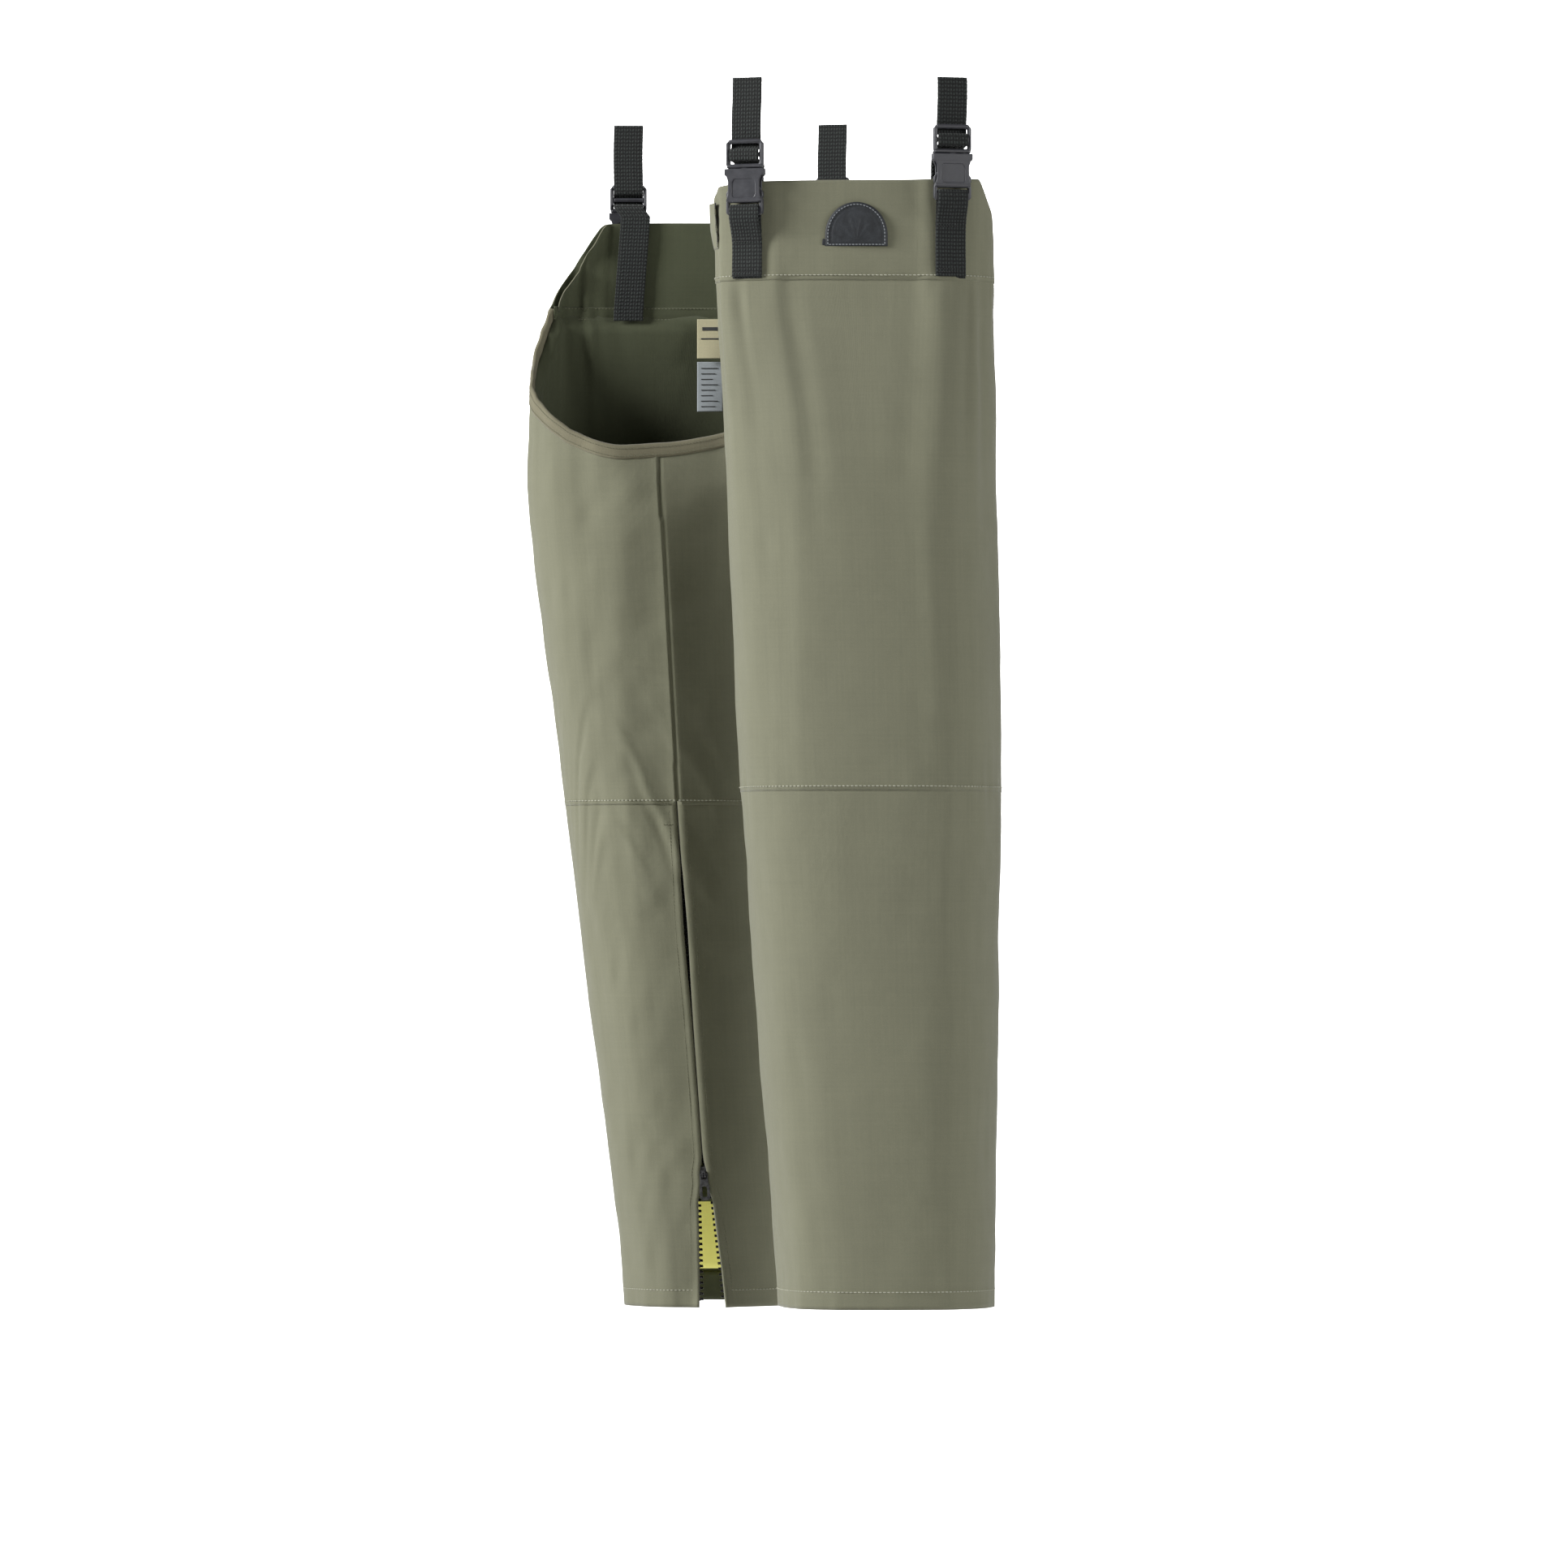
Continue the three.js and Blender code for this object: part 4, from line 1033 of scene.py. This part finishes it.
def outer_path(buckle):
    """From the yoke seam up behind the female half, round its bar and down again in front."""
    foot = YOKE_SEAM - STRAP_DROP
    half = WEB_THICK / 2
    inner = -(STRAP_GAP + half)
    outer = inner - WEB_THICK - 0.3
    reach = 2.5 + PLAY + half
    back, front = reach - BUCKLE_OUT, -reach - BUCKLE_OUT
    slot = buckle + FEMALE_SLOT
    return [(inner, foot), (inner, buckle - 20), (back, buckle - 2), (back, slot - 2),
            (back - 1.2, slot - 0.2), (-BUCKLE_OUT, slot + 0.1), (front + 1.2, slot - 0.2),
            (front, slot - 2), (front, buckle - 2), (outer, buckle - 20), (outer, foot + 1.5)]


def inner_path(buckle):
    """From inside the yoke over the ladder's bars, and on up as the tail."""
    half = WEB_THICK / 2
    inside = LINER_INSET + 2.8 + half
    lower = buckle + LADDER_SLOT
    bar = lower + 4.5
    upper = 2 * bar - lower
    reach = 2 + PLAY + half
    back, front = reach - BUCKLE_OUT, -reach - BUCKLE_OUT
    return [(inside, YOKE_SEAM - STRAP_DROP - 4), (inside, lower - 9), (inside - 3, lower - 2),
            (-BUCKLE_OUT + 3, lower), (-BUCKLE_OUT, lower), (front + 0.8, lower + 0.2),
            (front, lower + 1.8), (front - 0.1, bar), (front, upper - 1.8),
            (front + 0.8, upper - 0.2), (-BUCKLE_OUT, upper), (back - 0.8, upper + 1.4),
            (back, upper + 4), (back, upper + 9), (back, TAIL_TOP)]


def female_shape(matrix):
    """The socket half: two faces with a sunk panel, a flange at the mouth, and a bar below."""
    loop = rounded(mirrored([(13.5, 0), (15.5, 2), (15.5, 11), (14.4, 15), (9, 15)]), 1.2)
    face = rounded(mirrored([(12.6, 10.6), (14.6, 14), (13.4, 18), (13.4, 28), (14.6, 31),
                             (15.2, 34)]), 1.4)
    hollow = rounded(mirrored([(8.6, 14.5), (9.8, 16.5), (9.8, 26), (8.2, 29.5)]), 1.2)
    panel = rounded(mirrored([(9.4, 13.6), (10.6, 30.5)]), 1.0)
    flange = rounded(mirrored([(15.0, 31.6), (16.5, 33.2), (16.5, 37.6), (16.0, 38.0)]), 0.8)
    shapes = [(loop, [slab(-12.9, 6, 12.9, 10.2)], 5.0, 0.7),
              (mirrored([(2, 10.8), (12.4, 10.8), (12.6, 13), (2, 13)]), [], 7.0, 0.4)]
    for side in (-1, 1):
        cheek = [(13.3, 31.6), (16.5, 32.8), (16.5, 38.0), (13.3, 38.0)]
        post = [(12.4, 10.8), (14.8, 11.2), (14.4, 13.4), (12.4, 13.4)]
        shapes += [(face, [hollow], 1.7, 0.55, side * 3.6),
                   (panel, [], 1.0, 0.2, side * 3.35),
                   (slab(-14.8, 11.2, 14.8, 13.4, 0.6), [], 2.6, 0.5, side * 3.3),
                   (flange, [], 1.8, 0.6, side * 3.6),
                   (rounded([(side * x, z) for x, z in cheek], 0.6), [], 8.6, 0.7),
                   (rounded([(side * x, z) for x, z in post], 0.5), [], 8.0, 0.5)]
    return plates(matrix, shapes)


def male_shape(matrix):
    """The ladder half: frame with three bars, a base, and the guide tongue in the socket."""
    outline = rounded(mirrored([(2.4, 26), (2.4, 38.4), (15.2, 38.4), (15.6, 44), (15.6, 58),
                                (13.4, 62)]), 1.3)
    holes = [slab(-12.6, 42, 12.6, 47.6, 1.0), slab(-12.6, 51, 12.6, 58.5, 1.2)]
    rails = [[(side * x, z) for x, z in ((13.6, 40), (15.7, 41), (15.7, 59), (13.6, 60.5))]
             for side in (-1, 1)]
    return plates(matrix, [(outline, holes, 4.0, 0.9),
                           *[(rounded(rail, 0.8), [], 5.4, 1.0) for rail in rails],
                           (slab(-13.5, 58.8, 13.5, 61.8, 0.8), [], 5.0, 1.2),
                           (slab(-14.6, 38.5, 14.6, 41.6, 0.8), [], 5.2, 1.0),
                           (slab(-12.2, 48.4, 12.2, 50.4, 0.5), [], 4.6, 0.8)])


def arm_shape(matrix, side):
    """A spring arm with three grip ribs on its button."""
    outline = [(7.6, 37.9), (8.2, 20), (9, 13.6), (14.4, 13.6), (15.6, 14.8), (15.6, 18.6),
               (12.4, 23.2), (11, 24.2), (10.6, 37.9)]
    shapes = [(rounded([(side * x, z) for x, z in outline], 0.7), [], 4.0, 0.7)]
    for height in (15.2, 16.8, 18.4):
        grip = slab(side * 14.9 - 0.6, height - 0.35, side * 14.9 + 0.9, height + 0.35, 0.2)
        shapes.append((grip, [], 3.2, 0.15))
    return plates(matrix, shapes)


def add_strap_stitches(name, matrix, rows, y, body):
    """Rows of stitches across the webbing."""
    parts = []
    for height in rows:
        path = [(x, y, height) for x in np.linspace(-11, 11, 12)]
        parts.append(stitch_mesh(path, [(0, -1, 0)] * len(path), 2.2, 1.6, 0.28))
    vertices, faces = merge(parts)
    vertices = placed(matrix @ Vector(v) for v in vertices)
    add_piece(name, vertices, faces, "webbing", body, material="thread_dark")


def add_strap(leg_name, strap, leg_body):
    """One strap: its two lengths of webbing with their stitches, and the buckle between them."""
    leg = LEGS[leg_name]
    base = f"{leg_name}_{strap}"
    buckle = YOKE_TOP + leg["straps"][strap]
    matrix = strap_matrix(leg_name, strap)
    seed = len(base) + (7 if leg_name == "left" else 0)
    lean = 6.0 if base == "right_inseam" else 1.5

    def straight(z):
        return 0 * z

    def sway(z):
        """The tail wanders a little; inside the yoke the strap leans out of the buckle."""
        tail = np.sin((z - 960) / 34 + seed * 0.7) * np.clip((z - 955) / 30, 0, 1)
        inside = np.clip((z - YOKE_SEAM) / 80, 0, 1) * np.clip((buckle + 42 - z) / 8, 0, 1)
        return tail - lean * inside

    vertices, faces, uv = webbing_mesh(outer_path(buckle), matrix, straight, seed)
    add_piece(f"{base}_outer_webbing", vertices, faces, "webbing", leg_body,
              [f"{base}_outer_strap"], uv=uv)
    vertices, faces, uv = webbing_mesh(inner_path(buckle), matrix, sway, seed + 1)
    inner = add_piece(f"{base}_inner_webbing", vertices, faces, "webbing", None,
                      [f"{base}_inner_strap"], uv=uv)
    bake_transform(inner)
    rows = (YOKE_SEAM + 3, YOKE_SEAM + 5.5, buckle - 21, buckle - 18.5)
    add_strap_stitches(f"{base}_strap_stitches", matrix, rows,
                       -(STRAP_GAP + 2 * WEB_THICK + 0.5), leg_body)

    lift = matrix @ Matrix.Translation((0, -BUCKLE_OUT, buckle))
    add_hard(f"{base}_buckle_female_shell", female_shape(lift), "buckle_plastic", leg_body,
             [f"{base}_buckle_female"])
    add_hard(f"{base}_buckle_male_shell", male_shape(lift), "buckle_plastic", f"{base}_male",
             [f"{base}_buckle_male"])
    for side, word in ((-1, "a"), (1, "b")):
        add_hard(f"{base}_spring_arm_{word}", arm_shape(lift, side), "buckle_plastic",
                 f"{base}_arm_{word}", [f"{base}_buckle_arm_{word}"])


# ---- zip slider and pull --------------------------------------------------------------------

JOINTS = {j["name"]: j for j in frame["record"]["behaviour"]["joints"]}
PULL_OUT = 3.5  # the pull's hinge, out from the chain


def chain_matrix(leg_name):
    """The pull hinge's frame: z up along the chain, -y out of the leg, in row millimetres."""
    swing, travel = JOINTS[f"{leg_name}_pull_swing"], JOINTS[f"{leg_name}_zip_travel"]
    along = Vector(travel["axis"]).normalized()
    across = -Vector(swing["axis"]).normalized()
    inward = along.cross(across)
    rotation = Matrix((across, inward, along)).transposed().to_4x4()
    return Matrix.Translation(Vector(swing["pos_m"]) / MM) @ rotation


def add_slider(leg_name):
    """The slider, two plates joined by a web, with a bridge and two lugs for its pull."""
    hinge = chain_matrix(leg_name)
    half = [(2.8, 6), (4.6, 3.5), (5.4, -1), (5.0, -6), (1.4, -6), (0.8, -3.2)]
    plate = rounded(mirrored(half), 0.9)
    web = slab(-0.25, -5.5, 0.25, 5.5, 0.1)
    body = plates(hinge @ Matrix.Translation((0, PULL_OUT, 0)),
                  [(plate, [], 1.5, 0.45, -1.35), (plate, [], 1.5, 0.45, 5.9),
                   (web, [], 6.2, 0.08, 2.3)])
    cheek = rounded([(-1.6, -3.0), (1.6, -3.0), (1.3, 2.6), (-1.3, 2.6)], 0.6)
    eye = [slab(-0.85, -0.85, 0.85, 0.85, 0.3)]
    lugs = plates(hinge @ Matrix.Rotation(math.pi / 2, 4, "Z"),
                  [(cheek, eye, 0.8, 0.25, side * 1.1) for side in (-1, 1)])
    bridge = plates(hinge, [(slab(-1.4, 1.0, 1.4, 2.9, 0.5), [], 1.2, 0.3, -1.0)])
    add_hard(f"{leg_name}_slider_body", merge([body, lugs, bridge]), "zip_metal",
             f"{leg_name}_zip_slider", [f"{leg_name}_zip_slider"])
    outline = rounded(mirrored([(3.4, 0.5), (3.4, -7.4), (4.2, -10.4), (4.2, -20), (2.4, -22)]),
                      0.8)
    holes = [slab(-2.2, -4.4, 2.2, -0.5, 0.5), slab(-1.9, -19.4, 1.9, -10.5, 1.2)]
    add_hard(f"{leg_name}_pull_tab", rounded_plate(outline, holes, 1.0, 0.3, hinge), "zip_metal",
             f"{leg_name}_zip_pull", [f"{leg_name}_zip_pull"])


# ---- patch and labels -----------------------------------------------------------------------


def add_patch():
    """A leather patch with a straight foot and a round top, blind-embossed with a fan of veins
    inside a border, and sewn on round its edge."""
    low, high = (np.array(v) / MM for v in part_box("left_leather_patch"))
    half, height = (high[0] - low[0]) / 2, high[2] - low[2]
    centre, foot = (high[0] + low[0]) / 2, low[2]
    side, rise = 9.0, height - 9.0
    rings, spokes = 26, 96
    turn = np.linspace(0, 2 * math.pi, spokes, endpoint=False)
    square = np.minimum(1 / np.maximum(np.abs(np.cos(turn)), 1e-6),
                        1 / np.maximum(-np.sin(turn), 1e-6))
    upper = np.sin(turn) > 0
    x = half * np.cos(turn) * np.where(upper, 1, square)
    z = side + np.sin(turn) * np.where(upper, rise, side * square)
    middle_z = side + 4
    share = np.linspace(1, 0, rings)[:, None] ** 0.8
    px = x[None, :] * share
    pz = middle_z + (z[None, :] - middle_z) * share
    from_edge = (1 - share) * half
    border = -0.25 * gauss(from_edge - 4.8, 0.7) + 0.2 * gauss(from_edge - 6.4, 0.8)
    vein = np.abs(np.sin(np.arctan2(pz - 4, np.abs(px) + 1e-6) * 7))
    leaf = 0.4 * (1 - vein) * np.clip(1 - (np.hypot(px / 15, (pz - 14) / 13)) ** 4, 0, 1)
    rough = 0.12 * smooth_noise(3, px / 60 + 0.5, pz / 40, 30, 20)
    rim = -0.9 * gauss(from_edge, 0.8)
    dome = low[1] + 2.2 + 0.6 * (px / half) ** 2
    y = dome - (2.1 + border + leaf + rough + rim)
    points = np.stack([centre + px, y, foot + pz], -1).reshape(-1, 3)
    faces = grid_faces(rings, spokes, closed=True)
    back = np.stack([centre + x, dome[0] + 0.2, foot + z], -1)
    first = len(points)
    points = np.concatenate([points, back])
    for c in range(spokes):
        d = (c + 1) % spokes
        faces.append((first + c, first + d, d, c))
    faces.append(tuple(first + c for c in range(spokes - 1, -1, -1)))
    add_piece("left_patch_leather", points * MM, faces, "leather", "left_leg",
              ["left_leather_patch"])
    inset = 0.91
    path = np.stack([centre + x * inset, dome[0] - 2.35,
                     foot + middle_z + (z - middle_z) * inset], -1)
    path = np.concatenate([path, path[:1]])
    vertices, faces = stitch_mesh(path, [(0, -1, 0)] * len(path), 2.7, 2.0, 0.42)
    add_piece("left_patch_stitches", placed(vertices), faces, "leather", "left_leg",
              material="thread_grey")
    tab = [(centre - half - 2.5, 1.0), (centre - half + 1, 0.2), (centre - half + 1, 5.4),
           (centre - half - 2.0, 6.2)]
    shift = Matrix.Translation((0, low[1] + 1.6, foot))
    vertices, faces = rounded_plate(rounded(tab, 0.8), [], 1.0, 0.3, shift)
    add_piece("left_patch_tab", placed(vertices), faces, "leather", "left_leg")


def add_label(name, slot, lines):
    """A satin label that hangs from its top edge, a little curled, with plain blank bars."""
    low, high = (np.array(v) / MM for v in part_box(name))
    columns, rows = 24, 44
    u, v = np.meshgrid(np.linspace(0, 1, columns), np.linspace(0, 1, rows))
    x = low[0] + (high[0] - low[0]) * u
    z = high[2] - (high[2] - low[2]) * v
    middle = (low[1] + high[1]) / 2
    y = middle - 1.2 * v ** 2 - 0.8 * np.sin(u * 3.1) * v - 0.4
    points = np.stack([x, y, z], -1)
    uv = np.stack([x, z], -1).reshape(-1, 2) * MM
    label = add_piece(f"{name}_satin", points.reshape(-1, 3) * MM, grid_faces(rows, columns), slot,
                      "right_leg", [name], uv=uv)
    thicken(label, 0.35, 0.0)
    width, height = high[0] - low[0], high[2] - low[2]
    bars = []
    for top, left, right, tall in lines:
        z = high[2] - top * height
        lift = Matrix.Translation((0, middle - 0.95 - 1.2 * top ** 2 - 0.5 * top, 0))
        bar = slab(low[0] + left * width, z - tall, low[0] + right * width, z, 0.2)
        bars.append(rounded_plate(bar, [], 0.24, 0.05, lift, 0, 0))
    vertices, faces = merge(bars)
    add_piece(f"{name}_bars", placed(vertices), faces, slot, "right_leg", material="thread_dark")


# ---- camera, lights and floor ---------------------------------------------------------------


def add_camera():
    data = bpy.data.cameras.new("camera")
    data.lens = 183.5
    data.sensor_width = 36.0
    camera = bpy.data.objects.new("camera", data)
    bpy.context.scene.collection.objects.link(camera)
    camera.location = (0.0, -6.67, -0.698)
    camera.rotation_euler = (math.radians(90 + 1.07), 0, 0)
    data.clip_end = 60
    bpy.context.scene.camera = camera


def add_light(name, place, target, size, power):
    data = bpy.data.lights.new(name, "AREA")
    data.size = size
    data.energy = power
    light = bpy.data.objects.new(name, data)
    light.location = place
    direction = Vector(target) - Vector(place)
    light.rotation_euler = direction.to_track_quat("-Z", "Y").to_euler()
    bpy.context.scene.collection.objects.link(light)


def add_stage():
    """A pale floor that bends up into a wall behind the part."""
    profile = []
    floor, wall, bend = -2.7, 9.5, 1.5
    for y in np.linspace(-12, wall - bend, 6):
        profile.append((y, floor))
    for turn in np.linspace(0, math.pi / 2, 12)[1:]:
        profile.append((wall - bend + bend * math.sin(turn), floor + bend * (1 - math.cos(turn))))
    profile.append((wall, 6.0))
    vertices = [(x, y, z) for y, z in profile for x in (-12, 12)]
    faces = [(2 * k, 2 * k + 1, 2 * k + 3, 2 * k + 2) for k in range(len(profile) - 1)]
    mesh = bpy.data.meshes.new("floor")
    mesh.from_pydata(vertices, [], faces)
    mesh.polygons.foreach_set("use_smooth", [True] * len(faces))
    mesh.materials.append(Nodes("floor", (0.9, 0.9, 0.9), 0.9).material)
    floor_object = bpy.data.objects.new("floor", mesh)
    bpy.context.scene.collection.objects.link(floor_object)


def add_world():
    world = bpy.data.worlds.new("studio")
    world.use_nodes = True
    background = world.node_tree.nodes["Background"]
    background.inputs["Color"].default_value = (1.0, 1.0, 1.0, 1)
    background.inputs["Strength"].default_value = 0.085
    bpy.context.scene.world = world
    bpy.context.scene.view_settings.view_transform = "Standard"


# ---- build ----------------------------------------------------------------------------------

add_camera()
add_stage()
add_world()
middle = (0, 0, -0.55)
add_light("key", (-4.5, -1.5, 1.5), (0, 0, -0.35), 1.5, 350)
add_light("front", (3.0, -4.8, 1.0), middle, 1.5, 40)
add_light("right", (4.4, -2.0, 0.6), middle, 1.5, 95)
add_light("backdrop", (0, 6.6, 2.4), (0, 9.5, -0.6), 3.5, 520)

for leg_name, leg in LEGS.items():
    body = f"{leg_name}_leg"
    add_thigh(leg_name, leg, body)
    add_shin(leg_name, leg, body)
    add_yoke(leg_name, leg, body)
    add_binding(leg_name, leg, body)
    add_lining(leg_name, leg, body)
    add_inner_band(leg_name, leg, body)
    add_seam_stitches(leg_name, leg, body)
    add_zip(leg_name, leg, body)
    add_slider(leg_name)
    for strap in leg["straps"]:
        add_strap(leg_name, strap, body)

add_side_fold(LEGS["left"], "left_leg")
add_patch()
add_label("right_size_label", "size_label", [(0.2, 0.2, 0.8, 3.0), (0.48, 0.15, 0.85, 1.2)])
add_label("right_care_label", "care_label",
          [(0.12 + 0.11 * k, 0.15, 0.8 - 0.1 * (k % 3), 0.8) for k in range(8)])

for name in ("left_zip_top_stop", "right_zip_top_stop"):
    node = bpy.data.objects[name]
    node.data.materials.clear()
    node.data.materials.append(MATERIALS["zip_metal"])
